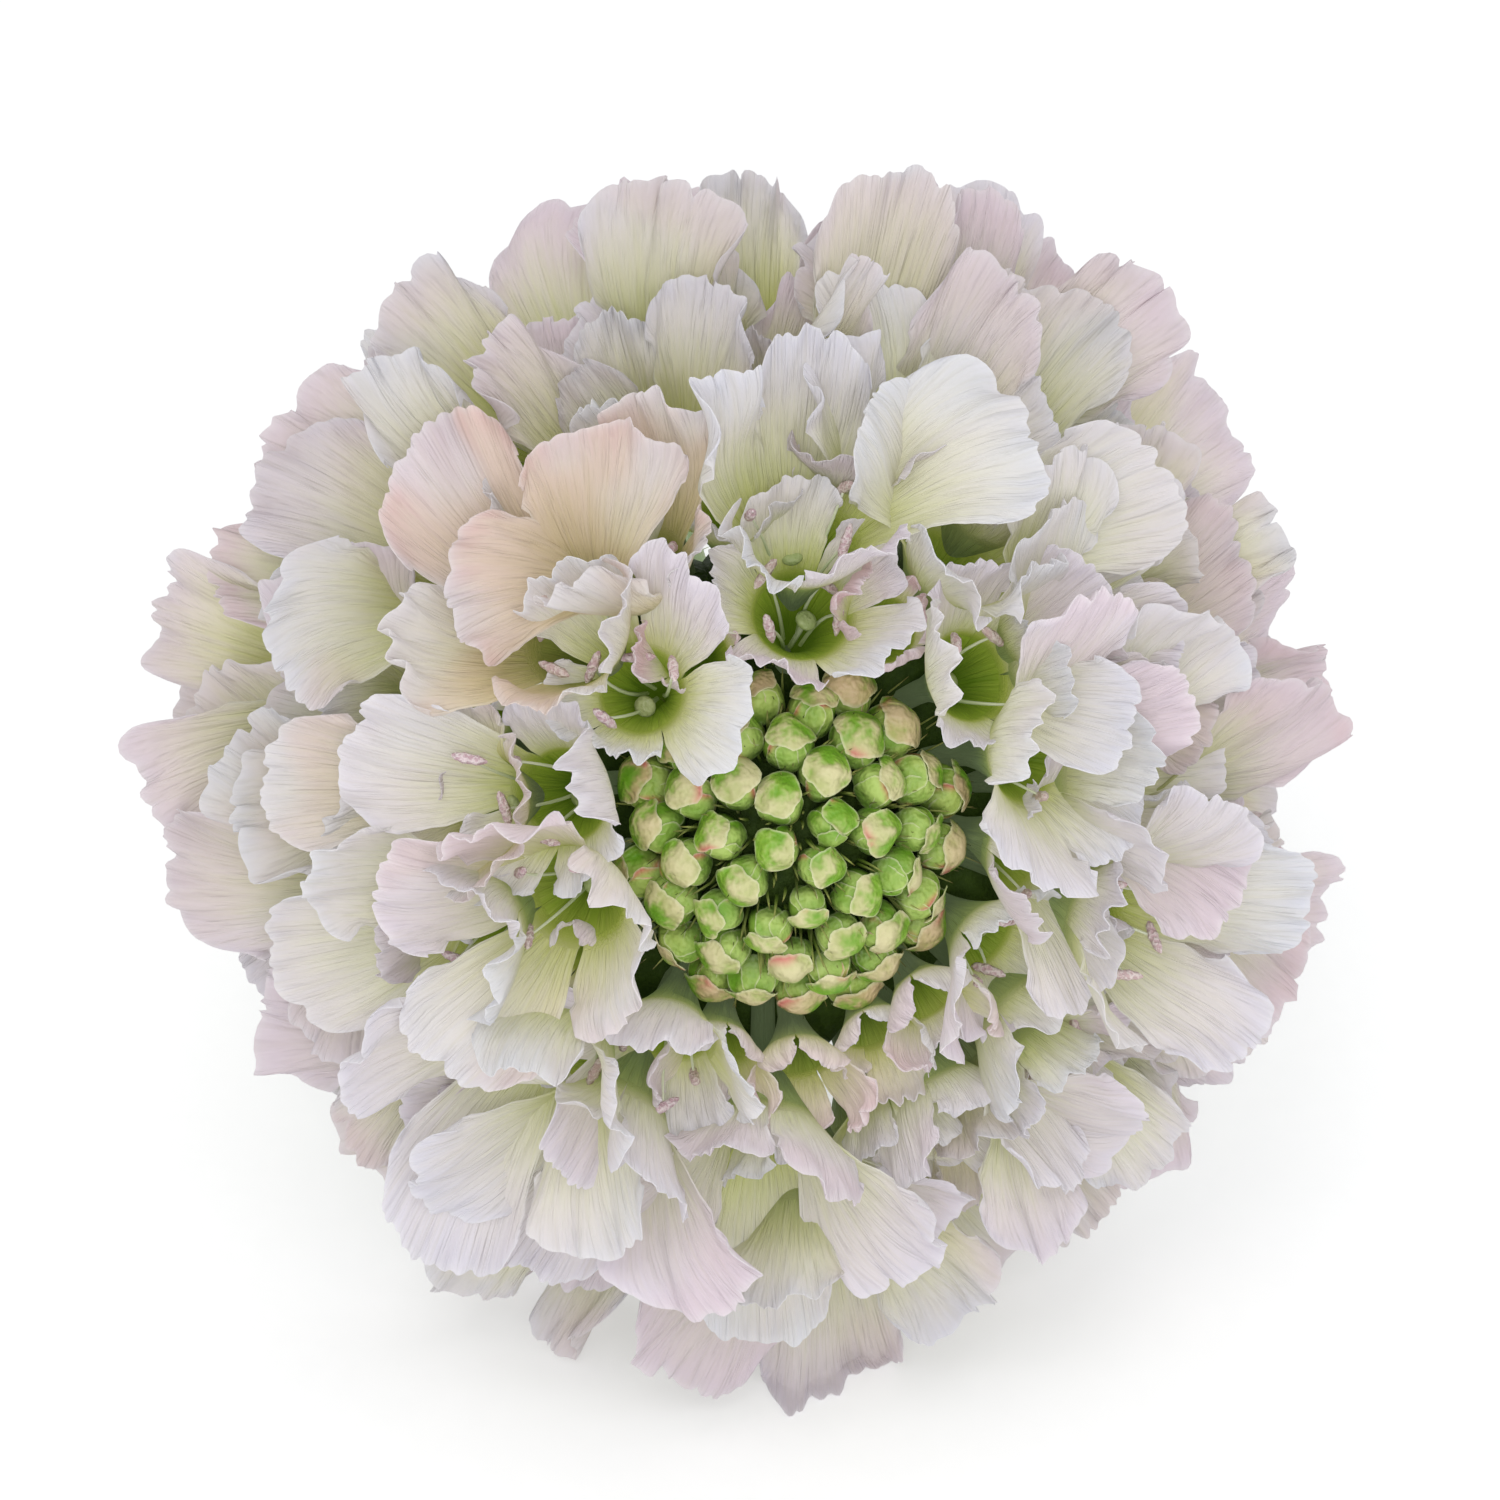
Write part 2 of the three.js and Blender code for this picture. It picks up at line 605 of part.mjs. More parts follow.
function makeInvolucre() {
  const bracts = Array.from({ length: BRACT_COUNT }, (_, n) => bractSolid(n));
  return meshOf("involucre", mainBody(join([cup(), ...bracts])), bractGreen, BLADE_SHORTEST);
}

function makeStem(surface) {
  const top = SOCKET_END - GAP;
  const bend = (share) => STEM_BEND * Math.sin(Math.PI * share) * share;
  const route = new THREE.CatmullRomCurve3(STEM_ROUTE.map((share) => (
    vector(bend(share), 0, top - STEM_LENGTH * share)
  )));
  const section = new THREE.Shape(Array.from({ length: STEM_SIDES }, (_, n) => {
    const turn = (2 * Math.PI * n) / STEM_SIDES;
    return new THREE.Vector2(STEM_RADIUS * Math.cos(turn), STEM_RADIUS * Math.sin(turn));
  }));
  const tube = new THREE.ExtrudeGeometry(section, { steps: STEM_STEPS, extrudePath: route });
  return meshOf("stem", mainBody(solidOf(tube).subtract(surface)), stemGreen);
}

// ---- The whole flower ----

const head = new THREE.Group();
head.name = "head";
head.position.set(HEAD_X, HEAD_Y, HEAD_HEIGHT);
head.rotation.x = Math.PI / 2 - FACE_UP;
head.updateMatrix();
const surface = surfaceBlock(head.matrix);
head.add(makeFlorets(surface), makeBuds(), makeInvolucre(), makeStem(surface));

const flower = new THREE.Group();
flower.name = "scabiosa_flower";
flower.add(head);

export default flower;
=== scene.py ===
"""Looks of a cut scabiosa flower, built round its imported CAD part.

The florets, buds, bracts and stem follow the same rule and the same repeatable draws as the CAD
solids, in thin petals with toothed rims. Lengths are in millimetres until a mesh is made.
"""
import math

import bpy
import numpy as np
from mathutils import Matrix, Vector
from mathutils.bvhtree import BVHTree


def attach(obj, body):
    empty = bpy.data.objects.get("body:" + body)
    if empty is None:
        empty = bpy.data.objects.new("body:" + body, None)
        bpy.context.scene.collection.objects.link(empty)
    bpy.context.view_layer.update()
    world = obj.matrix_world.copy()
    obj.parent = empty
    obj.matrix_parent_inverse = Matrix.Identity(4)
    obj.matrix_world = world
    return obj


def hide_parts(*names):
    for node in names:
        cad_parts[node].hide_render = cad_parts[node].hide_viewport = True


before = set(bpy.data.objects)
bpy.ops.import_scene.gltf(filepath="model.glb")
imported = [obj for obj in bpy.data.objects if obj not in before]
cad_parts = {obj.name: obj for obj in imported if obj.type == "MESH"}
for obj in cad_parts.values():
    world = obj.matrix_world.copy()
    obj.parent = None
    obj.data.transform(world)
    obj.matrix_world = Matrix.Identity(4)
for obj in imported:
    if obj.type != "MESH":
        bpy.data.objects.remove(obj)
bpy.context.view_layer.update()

MM = 0.001
SHARP = math.radians(58)

# Pose of the head, as in the CAD part.
HEAD = np.array([-0.27, -42.93, 28.7])
FACE_UP = math.radians(16)

# Receptacle, rings of florets and buds, as in the CAD part.
CORE_RADIUS = 4.9
ROOT_DEPTH = 0.8
RINGS = [
    dict(count=15, turn=302, base=80, leave=93, lean=34, tube=5.9, funnel=3.6, throat=38,
         lobe=8.6, width=8.8, flare=58, ruffle=0.6, fan=8, small=1.5),
    dict(count=14, turn=290, base=92, leave=86, lean=56, tube=8.0, funnel=4.0, throat=34,
         lobe=10.2, width=10.6, flare=50, ruffle=0.85, fan=28, small=1.2),
    dict(count=13, turn=301, base=106, leave=94, lean=72, tube=10.4, funnel=4.0, throat=30,
         lobe=12.5, width=12.0, flare=42, ruffle=1, fan=46),
    dict(count=12, turn=293, base=122, leave=106, lean=88, tube=10.6, funnel=4.0, throat=26,
         lobe=14.6, width=12.6, flare=34, ruffle=1, fan=56),
]
# More florets behind the outer ring, to the same rule.
BACK_RING = dict(count=12, turn=308, base=116, leave=104, lean=84, tube=10.2, funnel=4.0, throat=28,
                 lobe=13.4, width=12.6, flare=36, ruffle=1, fan=56)
# Smaller florets that fill the gaps between the second and the third ring.
FILL_RING = dict(count=13, turn=317, base=99, leave=90, lean=64, tube=8.8, funnel=3.4, throat=30,
                 lobe=8.8, width=9.2, flare=46, ruffle=1.1, fan=38)
# Florets that grew shorter or longer than the rest of their ring: (ring, place) and share.
GROWN = {(2, 0): 0.84, (2, 1): 0.86, (2, 2): 0.92, (2, 3): 0.84, (2, 5): 0.96, (2, 10): 0.93,
         (2, 12): 1.06, (3, 3): 0.86, (3, 6): 0.97, (3, 8): 0.86, (4, 2): 0.92, (4, 9): 0.86}
RING_NAMES = {0: "florets_inner", 1: "florets_second", 2: "florets_third", 3: "florets_outer",
              4: "florets_back", 6: "florets_filling"}
APART = 1.0
TUBE_RADIUS = 0.55
TUBE_FLARE = math.radians(12)
TUBE_STEPS = 8
LOBES = [
    dict(at=-68, span=34, length=0.92, width=0.92, flare=0.95, number=14),
    dict(at=0, span=34, length=1, width=1, flare=1, number=10),
    dict(at=68, span=34, length=0.92, width=0.92, flare=0.95, number=11),
    dict(at=141, span=39, length=0.5, width=0.68, flare=0.6, number=12),
    dict(at=219, span=39, length=0.5, width=0.68, flare=0.6, number=13),
]
DOME_RADIUS = 10.6
DOME_EDGE = 5.2
PRESS_LEVEL = 0.16
PRESS_SOFTNESS = 0.25
PRESS_SPREAD = 0.85
BUD_COUNT = 46
BUD_SPREAD = 57
BUD_LEVEL = 8.8
BUD_RADIUS = 0.95
BUD_GROWTH = 0.42
BUD_STRETCH = 1.25
BUD_TURN = 137.508
DRAW_STEPS = (12.9898, 78.233, 37.719, 9.151)
WHOLE_WAVE = 6.28
# Lobes longer than this share of the longest are the three large ones of a floret.
LARGE_LOBE = 0.6
# Rings whose lobes slide backward where the surface presses them up; the others slide forward.
BACKWARD_RINGS = (3, 4)
# Thickness of a petal, how much thinner it gets at its rim, and the least height over the surface.
PETAL_THICK = 0.11
RIM_THINNER = 0.07
FLOOR_GAP = 0.02


# ---- Numbers ----

def draw(low, high, *key):
    """A repeatable draw between two values, named by up to four whole numbers."""
    wave = math.sin(0.5 + sum(k * s for k, s in zip(key, DRAW_STEPS))) * 43758.5453
    return low + (high - low) * (wave - math.floor(wave))


def phase(*key):
    """A repeatable draw of where a wave starts."""
    return draw(0, WHOLE_WAVE, *key)


def lerp(a, b, t):
    return a + (b - a) * t


def ramp(low, high, x):
    t = np.clip((x - low) / (high - low), 0.0, 1.0)
    return t * t * (3 - 2 * t)


def unit(v):
    return v / np.linalg.norm(v)


def slanted(angle, turn):
    """Direction at an angle from the flower's axis, in the half-plane at a turn round it."""
    return np.array([math.sin(angle) * math.cos(turn), math.sin(angle) * math.sin(turn),
                     math.cos(angle)])


def turned(v, axis, angle):
    """v turned about a unit axis."""
    return (v * math.cos(angle) + np.cross(axis, v) * math.sin(angle)
            + axis * np.dot(axis, v) * (1 - math.cos(angle)))


def to_row(points):
    """Points of the head's own frame in the row frame."""
    x, y, z = points.T
    s, c = math.sin(FACE_UP), math.cos(FACE_UP)
    return HEAD + np.stack([x, y * s - z * c, y * c + z * s], axis=1)


def dome_room(height):
    """Radius that the buds need at a height over the middle of the receptacle."""
    rim = math.sqrt(DOME_RADIUS ** 2 - DOME_EDGE ** 2)
    low = lerp(CORE_RADIUS + 0.3, rim, height / DOME_EDGE)
    high = np.sqrt(np.maximum(DOME_RADIUS ** 2 - height ** 2, 0))
    room = np.where(height >= DOME_EDGE, high, low)
    return np.where((height <= 0) | (height >= DOME_RADIUS), 0.0, room)


def settle(points, back):
    """Moves points out of the buds' room and up off the surface that the flower lies on."""
    p = points.copy()
    reach = np.hypot(p[:, 0], p[:, 1])
    room = dome_room(p[:, 2])
    grow = np.where(reach < room, room / np.maximum(reach, 1e-6), 1.0)
    p[:, 0] *= grow
    p[:, 1] *= grow
    up = np.array([0, math.cos(FACE_UP), math.sin(FACE_UP)])
    behind = np.array([0, math.sin(FACE_UP), -math.cos(FACE_UP)])
    level = HEAD[2] + p @ up
    depth = (level - PRESS_LEVEL) / PRESS_SOFTNESS
    pressed = PRESS_LEVEL + PRESS_SOFTNESS * np.log1p(np.exp(np.minimum(depth, 40)))
    near = depth < 6
    lift = np.where(near, pressed - level, 0.0)
    slide = np.where(near, back * PRESS_SPREAD * np.maximum(0, PRESS_LEVEL - level), 0.0)
    return p + lift[:, None] * up + slide[:, None] * behind


# ---- Sheets and shells ----

def zipper(low, high):
    """Triangles between two rows of a sheet, of any lengths."""
    triangles = []
    a = b = 0
    while a < len(low) - 1 or b < len(high) - 1:
        if (a + 1) * (len(high) - 1) <= (b + 1) * (len(low) - 1):
            triangles.append((low[a], high[b], low[a + 1]))
            a += 1
        else:
            triangles.append((low[a], high[b], high[b + 1]))
            b += 1
    return triangles


def grid_triangles(rows, cols, wrap=False, outward=False):
    """Triangles of a sheet. wrap joins the last column to the first, outward turns them over."""
    triangles = []
    wide = cols if wrap else cols + 1
    for r in range(rows):
        for c in range(cols):
            a, b = r * wide + c, r * wide + (c + 1) % wide
            if outward:
                triangles += [(a, a + wide, b + wide), (a, b + wide, b)]
            else:
                triangles += [(a, b, b + wide), (a, b + wide, a + wide)]
    return triangles


def twice(values):
    """A number for both sides of a shell."""
    return np.concatenate([values, values])


def normals_of(points, triangles):
    a, b, c = (points[triangles[:, n]] for n in range(3))
    face = np.cross(b - a, c - a)
    total = np.zeros_like(points)
    for n in range(3):
        np.add.at(total, triangles[:, n], face)
    return total / np.maximum(np.linalg.norm(total, axis=1), 1e-9)[:, None]


def open_edges(triangles):
    """Edges that only one triangle has, in its winding."""
    sides = np.concatenate([triangles[:, [0, 1]], triangles[:, [1, 2]], triangles[:, [2, 0]]])
    known = {(a, b) for a, b in sides.tolist()}
    return np.array([(a, b) for a, b in sides.tolist() if (b, a) not in known])


def shell(points, triangles, rim, thick):
    """Thickens a sheet to both sides and closes its rim. thick is one value or one a point."""
    half = (np.ones(len(points)) * thick / 2)[:, None] * normals_of(points, triangles)
    n = len(points)
    a, b = rim[:, 0], rim[:, 1]
    sides = np.concatenate([np.stack([b, a, a + n], 1), np.stack([b, a + n, b + n], 1)])
    return np.concatenate([points + half, points - half]), np.concatenate(
        [triangles, triangles[:, ::-1] + n, sides])


class Piece:
    """Gathers meshes that become one Blender object, with numbers for its material."""

    def __init__(self, name):
        self.name = name
        self.points, self.triangles, self.numbers = [], [], {}
        self.count = 0

    def add(self, points, triangles, **numbers):
        self.points.append(points)
        self.triangles.append(np.asarray(triangles) + self.count)
        self.count += len(points)
        for name, value in numbers.items():
            self.numbers.setdefault(name, []).append(np.ones(len(points)) * value)

    def make(self, material, slot, *nodes):
        co = to_row(np.concatenate(self.points))
        co[:, 2] = np.maximum(co[:, 2], FLOOR_GAP)
        tri = np.concatenate(self.triangles).astype(np.int32)
        mesh = bpy.data.meshes.new(self.name)
        mesh.vertices.add(len(co))
        mesh.vertices.foreach_set("co", (co * MM).astype(np.float32).ravel())
        mesh.loops.add(tri.size)
        mesh.loops.foreach_set("vertex_index", tri.ravel())
        mesh.polygons.add(len(tri))
        mesh.polygons.foreach_set("loop_start", np.arange(0, tri.size, 3, dtype=np.int32))
        mesh.polygons.foreach_set("use_smooth", np.ones(len(tri), bool))
        mesh.update(calc_edges=True)
        mesh.set_sharp_from_angle(angle=SHARP)
        for name, values in self.numbers.items():
            layer = mesh.attributes.new(name, "FLOAT", "POINT")
            layer.data.foreach_set("value", np.concatenate(values).astype(np.float32))
        mesh.materials.append(material)
        made = bpy.data.objects.new(self.name, mesh)
        bpy.context.scene.collection.objects.link(made)
        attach(made, "root")
        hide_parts(*nodes)
        print(self.name, len(tri), "triangles")
        return made


# ---- One corolla: tube, funnel and five lobes, as a template and a rule ----

TUBE_COLUMNS = 9
TUBE_ROWS = 7
FUNNEL_ROWS = 5
BIG_COLUMNS = [8, 12, 16, 20, 24, 28, 34, 40, 46, 50, 50, 50, 50]
BIG_ALONG = [0, 0.1, 0.2, 0.3, 0.4, 0.5, 0.6, 0.7, 0.79, 0.86, 0.92, 0.965, 1]
SMALL_COLUMNS = [6, 10, 14, 18, 22, 26, 28, 28]
SMALL_ALONG = [0, 0.15, 0.3, 0.45, 0.6, 0.75, 0.88, 1]


def corolla_template():
    """Rows, columns and triangles that every corolla shares."""
    tube, across, along, lobe_of, triangles = [], [], [], [], []
    turns = []
    for lobe in LOBES:
        cols = BIG_COLUMNS[0] if lobe["length"] > LARGE_LOBE else SMALL_COLUMNS[0]
        turns += [lobe["at"] + lobe["span"] * (2 * c / cols - 1) for c in range(cols)]
    turns = np.radians(turns)
    count = 0
    rows = []
    ring_turns = [np.linspace(turns[0], turns[0] + 2 * math.pi, TUBE_COLUMNS, endpoint=False)]
    ring_turns = ring_turns * TUBE_ROWS + [turns] * (FUNNEL_ROWS + 1)
    levels = [-1 + n / TUBE_ROWS for n in range(TUBE_ROWS)]
    levels += [n / FUNNEL_ROWS for n in range(FUNNEL_ROWS + 1)]
    for row, level in zip(ring_turns, levels):
        rows.append(list(range(count, count + len(row))))
        tube += [(level, t) for t in row]
        count += len(row)
    for low, high in zip(rows, rows[1:]):
        triangles += zipper(low + low[:1], high + high[:1])
    throat = rows[-1] + rows[-1][:1]
    start = 0
    for k, lobe in enumerate(LOBES):
        big = lobe["length"] > LARGE_LOBE
        columns, alongs = (BIG_COLUMNS, BIG_ALONG) if big else (SMALL_COLUMNS, SMALL_ALONG)
        low = throat[start:start + columns[0] + 1]
        start += columns[0]
        for cols, at in zip(columns[1:], alongs[1:]):
            high = list(range(count, count + cols + 1))
            across += list(np.linspace(-1, 1, cols + 1))
            along += [at] * (cols + 1)
            lobe_of += [k] * (cols + 1)
            count += cols + 1
            triangles += zipper(low, high)
            low = high
    triangles = np.array(triangles)
    return dict(tube=np.array(tube), across=np.array(across), along=np.array(along),
                lobe=np.array(lobe_of), triangles=triangles, rim=open_edges(triangles))


TEMPLATE = corolla_template()


def floret_frame(ring, r, i):
    """Where a floret is rooted, the way of its tube, and how its corolla is turned."""
    turn = math.radians(ring["turn"] + 360 / ring["count"] * (i + draw(-0.22, 0.22, r, i, 1)))
    base = math.radians(ring["base"] + draw(-4, 4, r, i, 2))
    leave = math.radians(ring["leave"] + draw(-4, 4, r, i, 3))
    lean = math.radians(ring["lean"] + draw(-7, 7, r, i, 4))
    grown = GROWN.get((r, i), 1)
    tube = ring["tube"] * draw(0.9, 1.08, r, i, 5) * grown
    way = [slanted(base, turn) * CORE_RADIUS * ROOT_DEPTH]
    for n in range(TUBE_STEPS):
        angle = lerp(leave, lean, (n + 0.5) / TUBE_STEPS)
        way.append(way[-1] + slanted(angle, turn) * tube / TUBE_STEPS)
    axis = slanted(lean, turn)
    roll = math.radians(draw(-18, 18, r, i, 6))
    side = turned(slanted(lean + math.pi / 2, turn), axis, roll)
    f = dict(ring=ring, r=r, i=i, way=np.array(way), mouth=way[-1], axis=axis, side=side,
             cross=np.cross(axis, side), size=draw(0.86, 1.1, r, i, 7) * grown, turn=turn)
    f["lobes"] = [lobe_frame(f, k) for k in range(len(LOBES))]
    return f


def funnel_at(f, share):
    """Radius and height along the funnel, from 0 at the tube to 1 at the throat."""
    wide = math.radians(f["ring"]["throat"]) - TUBE_FLARE
    length = f["ring"]["funnel"] * f["size"]
    angle = TUBE_FLARE + wide * share
    radius = TUBE_RADIUS + length * (math.cos(TUBE_FLARE) - np.cos(angle)) / wide
    return radius, length * (np.sin(angle) - math.sin(TUBE_FLARE)) / wide


def tube_points(f, level, turn):
    """Points of the tube, level -1 to 0, and of the funnel, 0 to 1."""
    share = np.clip(level, 0, 1)
    radius, height = funnel_at(f, share)
    radius = radius * np.where(level < 0, 1 + 0.25 * level, 1)
    at = (1 + np.clip(level, -1, 0)) * TUBE_STEPS
    way = np.stack([np.interp(at, range(TUBE_STEPS + 1), f["way"][:, c]) for c in range(3)], 1)
    round_ = np.cos(turn)[:, None] * f["side"] + np.sin(turn)[:, None] * f["cross"]
    return way + round_ * radius[:, None] + f["axis"] * np.where(level < 0, 0, height)[:, None]


def lobe_frame(f, k):
    """One lobe's own measures, drawn once."""
    ring, size, lobe = f["ring"], f["size"], LOBES[k]
    key = (f["r"], f["i"], lobe["number"])
    turn = math.radians(lobe["at"])
    large = lobe["length"] > LARGE_LOBE
    if not large:
        size = size * ring.get("small", 1)
    return dict(
        key=key, span=math.radians(lobe["span"]), turn=turn,
        length=ring["lobe"] * lobe["length"] * size * draw(0.88, 1.12, *key, 1),
        half=ring["width"] * lobe["width"] * size * draw(0.88, 1.12, *key, 2) / 2,
        lean=math.radians(draw(-8, 8, *key, 3)),
        flare=math.radians(ring["flare"] * lobe["flare"] + draw(-14, 14, *key, 4)),
        curl=math.radians(draw(-20, 34, *key, 5) + ring.get("curl", 0)),
        cup=draw(-0.02, 0.12, *key, 6),
        twist=math.radians(draw(-20, 20, *key, 7)),
        fan=math.radians(-ring["fan"] * round(math.sin(turn))) if large else 0.0,
        sway=draw(-0.1, 0.1, *key, 8),
        waves=draw(1.3, 2.2, *key, 9),
        phase=draw(0, 2 * math.pi, *key, 10),
        ruffle=draw(0.35, 0.8, *key, 11) * ring.get("ruffle", 1),
        outward=math.cos(turn) * f["side"] + math.sin(turn) * f["cross"],
        sideways=math.cos(turn) * f["cross"] - math.sin(turn) * f["side"],
    )


def notches(x, key, first):
    """0 at the tip of a tooth, down to -1 in a notch: broad scallops with uneven teeth on them."""
    broad = draw(2.2, 3.6, *key, first)
    coarse, fine = draw(5, 8, *key, first), draw(14, 20, *key, first + 1)
    shift, start = phase(*key, first + 2), phase(*key, first + 3)
    scallop = np.abs(np.sin(broad * x + start)) ** 0.6
    a = np.abs(np.sin(coarse * x + shift + 0.9 * np.sin(4 * x + start))) ** 0.6
    b = np.abs(np.sin(fine * x + start + 1.8 * np.sin(3 * x + shift))) ** 0.8
    uneven = 0.4 + 0.6 * np.sin(5.3 * x + 2 * shift) ** 2
    return -(0.4 * (1 - scallop) + 0.35 * (1 - a) + 0.32 * uneven * (1 - b))


def lobe_points(f, lobe, across, along, fine=True):
    """Points of a lobe: across from -1 to 1, along from 0 at the throat to 1 at the tip."""
    key = lobe["key"]
    bitten = along
    if fine:
        depth = 0.11 if lobe["length"] > 5 else 0.13
        bitten = along + depth * notches(across, key, 20) * ramp(0.8, 1.0, along)
        narrow = 0.07 * notches(along * 2.2, key, 24) * ramp(0.85, 1.0, np.abs(across))
        across = across * (1 + narrow * ramp(0.3, 0.6, along))
    share = bitten * (1 - (0.1 * across ** 2 + 0.26 * across ** 4) * bitten)
    throat = math.radians(f["ring"]["throat"])
    steps = np.linspace(0, 1.1, 56)
    opened = lerp(throat, lobe["flare"], ramp(0, 0.7, steps)) + lobe["curl"] * ramp(0.5, 1, steps)
    middle = (opened[1:] + opened[:-1]) / 2
    gap = steps[1] * lobe["length"]
    start_r, start_h = funnel_at(f, 1.0)
    radius = np.interp(share, steps, start_r + np.concatenate([[0], np.cumsum(np.sin(middle)) * gap]))
    height = np.interp(share, steps, start_h + np.concatenate([[0], np.cumsum(np.cos(middle)) * gap]))
    angle = np.interp(share, steps, opened)
    span = lobe["span"]
    half = lerp(span * start_r, lobe["half"], ramp(0, 0.75, share))
    half = np.minimum(half, span * lerp(start_r, radius, APART))
    bend = lerp(1 / start_r, lobe["cup"], ramp(0, 0.5, share))
    bend = np.where(np.abs(bend) < 1e-3, 1e-3, bend)
    arc = bend * half * across
    x, lift = np.sin(arc) / bend, (1 - np.cos(arc)) / bend
    twist = lobe["twist"] * share ** 2 + lobe["fan"] * ramp(0.05, 0.6, share)
    x, lift = x * np.cos(twist) - lift * np.sin(twist), x * np.sin(twist) + lift * np.cos(twist)
    ends = 0.35 + 0.65 * np.abs(across)
    wave = np.sin(lobe["waves"] * math.pi * across + lobe["phase"])
    lift = lift + lobe["ruffle"] * lobe["half"] / 4 * ramp(0.3, 1, share) * wave * ends
    if fine:
        lift = lift + frills(lobe, across, along)
    x = x + (lobe["sway"] + math.sin(lobe["lean"]) * 0.3) * lobe["length"] * share ** 2
    upright = ramp(0, 0.5, share)[:, None]
    normal = (-lerp(1, np.cos(angle)[:, None], upright) * lobe["outward"]
              + np.sin(angle)[:, None] * upright * f["axis"])
    normal /= np.linalg.norm(normal, axis=1)[:, None]
    return (f["mouth"] + radius[:, None] * lobe["outward"] + height[:, None] * f["axis"]
            + x[:, None] * lobe["sideways"] + lift[:, None] * normal)


def press_side(f):
    return 1 if f["r"] in BACKWARD_RINGS else -1


def frills(lobe, across, along):
    """Fine relief over the CAD shape: pleats from the throat, a frilled tip and rolled sides."""
    key, half = lobe["key"], lobe["half"]
    pleats = draw(9, 13, *key, 30)
    lift = 0.06 * ramp(0.2, 0.7, along) * np.sin(pleats * across + phase(*key, 31))
    frill = np.sin(draw(9, 14, *key, 32) * across + phase(*key, 33) + 2 * along)
    lift = lift + draw(0.03, 0.075, *key, 34) * half * ramp(0.6, 1.0, along) * frill
    crinkle = np.sin(draw(17, 25, *key, 35) * across + 3 * np.sin(5 * across) + phase(*key, 36))
    lift = lift + 0.028 * half * ramp(0.78, 1.0, along) * crinkle
    for side in (-1, 1):
        rolled = draw(-0.1, 0.17, *key, 36 + side) * half
        edge = np.clip(across * side, 0, 1) ** 2.2
        wave = 1 + 0.5 * np.sin(draw(5, 9, *key, 40 + side) * along + phase(*key, 44 + side))
        lift = lift + rolled * edge * ramp(0.15, 0.7, along) * wave
        edge = ramp(0.72, 1.0, across * side)
        waves = np.sin(draw(14, 21, *key, 47 + side) * along)
        lift = lift + 0.04 * half * edge * ramp(0.25, 0.5, along) * waves
    return lift


def corolla(piece, f, **numbers):
    """Adds one floret's tube, funnel and lobes to a piece."""
    t = TEMPLATE
    parts = [tube_points(f, t["tube"][:, 0], t["tube"][:, 1])]
    blush = [np.zeros(len(t["tube"]))]
    seed = [np.zeros(len(t["tube"]))]
    for k, lobe in enumerate(f["lobes"]):
        pick = t["lobe"] == k
        parts.append(lobe_points(f, lobe, t["across"][pick], t["along"][pick]))
        blush.append(np.full(pick.sum(), draw(0, 1, *lobe["key"], 50)))
        seed.append(np.full(pick.sum(), draw(0, 30, *lobe["key"], 51)))
    points = settle(np.concatenate(parts), press_side(f))
    level = np.concatenate([0.25 * np.clip(t["tube"][:, 0], -0.4, 1),
                            0.25 + 0.75 * t["along"] ** PALER[f["r"]]])
    across = np.concatenate([np.sin(2.5 * t["tube"][:, 1]), t["across"]])
    edge = np.maximum(ramp(0.92, 1, np.abs(t["across"])) * ramp(0.2, 0.5, t["along"]),
                      ramp(0.95, 1, t["along"]))
    edge = np.concatenate([np.zeros(len(t["tube"])), edge])
    solid, triangles = shell(points, t["triangles"], t["rim"], PETAL_THICK - RIM_THINNER * edge)
    outside = np.concatenate([np.zeros(len(points)), np.ones(len(points))])
    piece.add(solid, triangles, along=twice(level), across=twice(across), edge=twice(edge),
              blush=twice(np.concatenate(blush)), seed=twice(np.concatenate(seed)),
              outside=outside, lit=RING_PAINTED_GLOW[f["r"]], **numbers)


# Painted light: how strongly each ring's petals glow by emission, standing in for the light that other
# petals pass on to it.
RING_PAINTED_GLOW = {0: 1.0, 1: 0.7, 2: 0.25, 3: 0.2, 4: 0.35, 5: 1.0, 6: 0.6}
# Strength of that painted glow, as emission in the petals' own colour.
PETAL_PAINTED_GLOW = 0.21
# How fast a lobe pales from its green foot to its white edge: less is sooner.
PALER = {0: 0.68, 1: 0.75, 2: 1.3, 3: 2.0, 4: 2.0, 5: 0.68, 6: 1.2}


# ---- Petals that make way for each other ----

COARSE_ACROSS = np.linspace(-1, 1, 7)
COARSE_ALONG = np.array([0.12, 0.32, 0.52, 0.7, 0.86, 1.0])
NEAR = 2.5
# Ways in which a lobe may give way: degrees of flare, sway, share of its length, and what each costs.
WAYS = [(0, 0, 1, 0)]
WAYS += [(bend, 0, 1, abs(bend) * 0.06) for bend in (-7, 7, -14, 14, -21, 21)]
WAYS += [(bend, sway, 1, 0.4 + abs(bend) * 0.06) for bend in (-10, 0, 10) for sway in (-0.12, 0.12)]
WAYS += [(bend, 0, size, 3 * (1 - size) + abs(bend) * 0.06) for bend in (-10, 0, 10)
         for size in (0.86, 0.72)]


def coarse_lobe(f, lobe):
    across = np.tile(COARSE_ACROSS, len(COARSE_ALONG))
    along = np.repeat(COARSE_ALONG, len(COARSE_ACROSS))
    return settle(lobe_points(f, lobe, across, along, fine=False), press_side(f))


def coarse_funnel(f):
    levels = np.repeat([-0.7, -0.35, 0.0, 0.5, 1.0], 8)
    turns = np.tile(np.linspace(0, 2 * math.pi, 8, endpoint=False), 5)
    return settle(tube_points(f, levels, turns), -1)


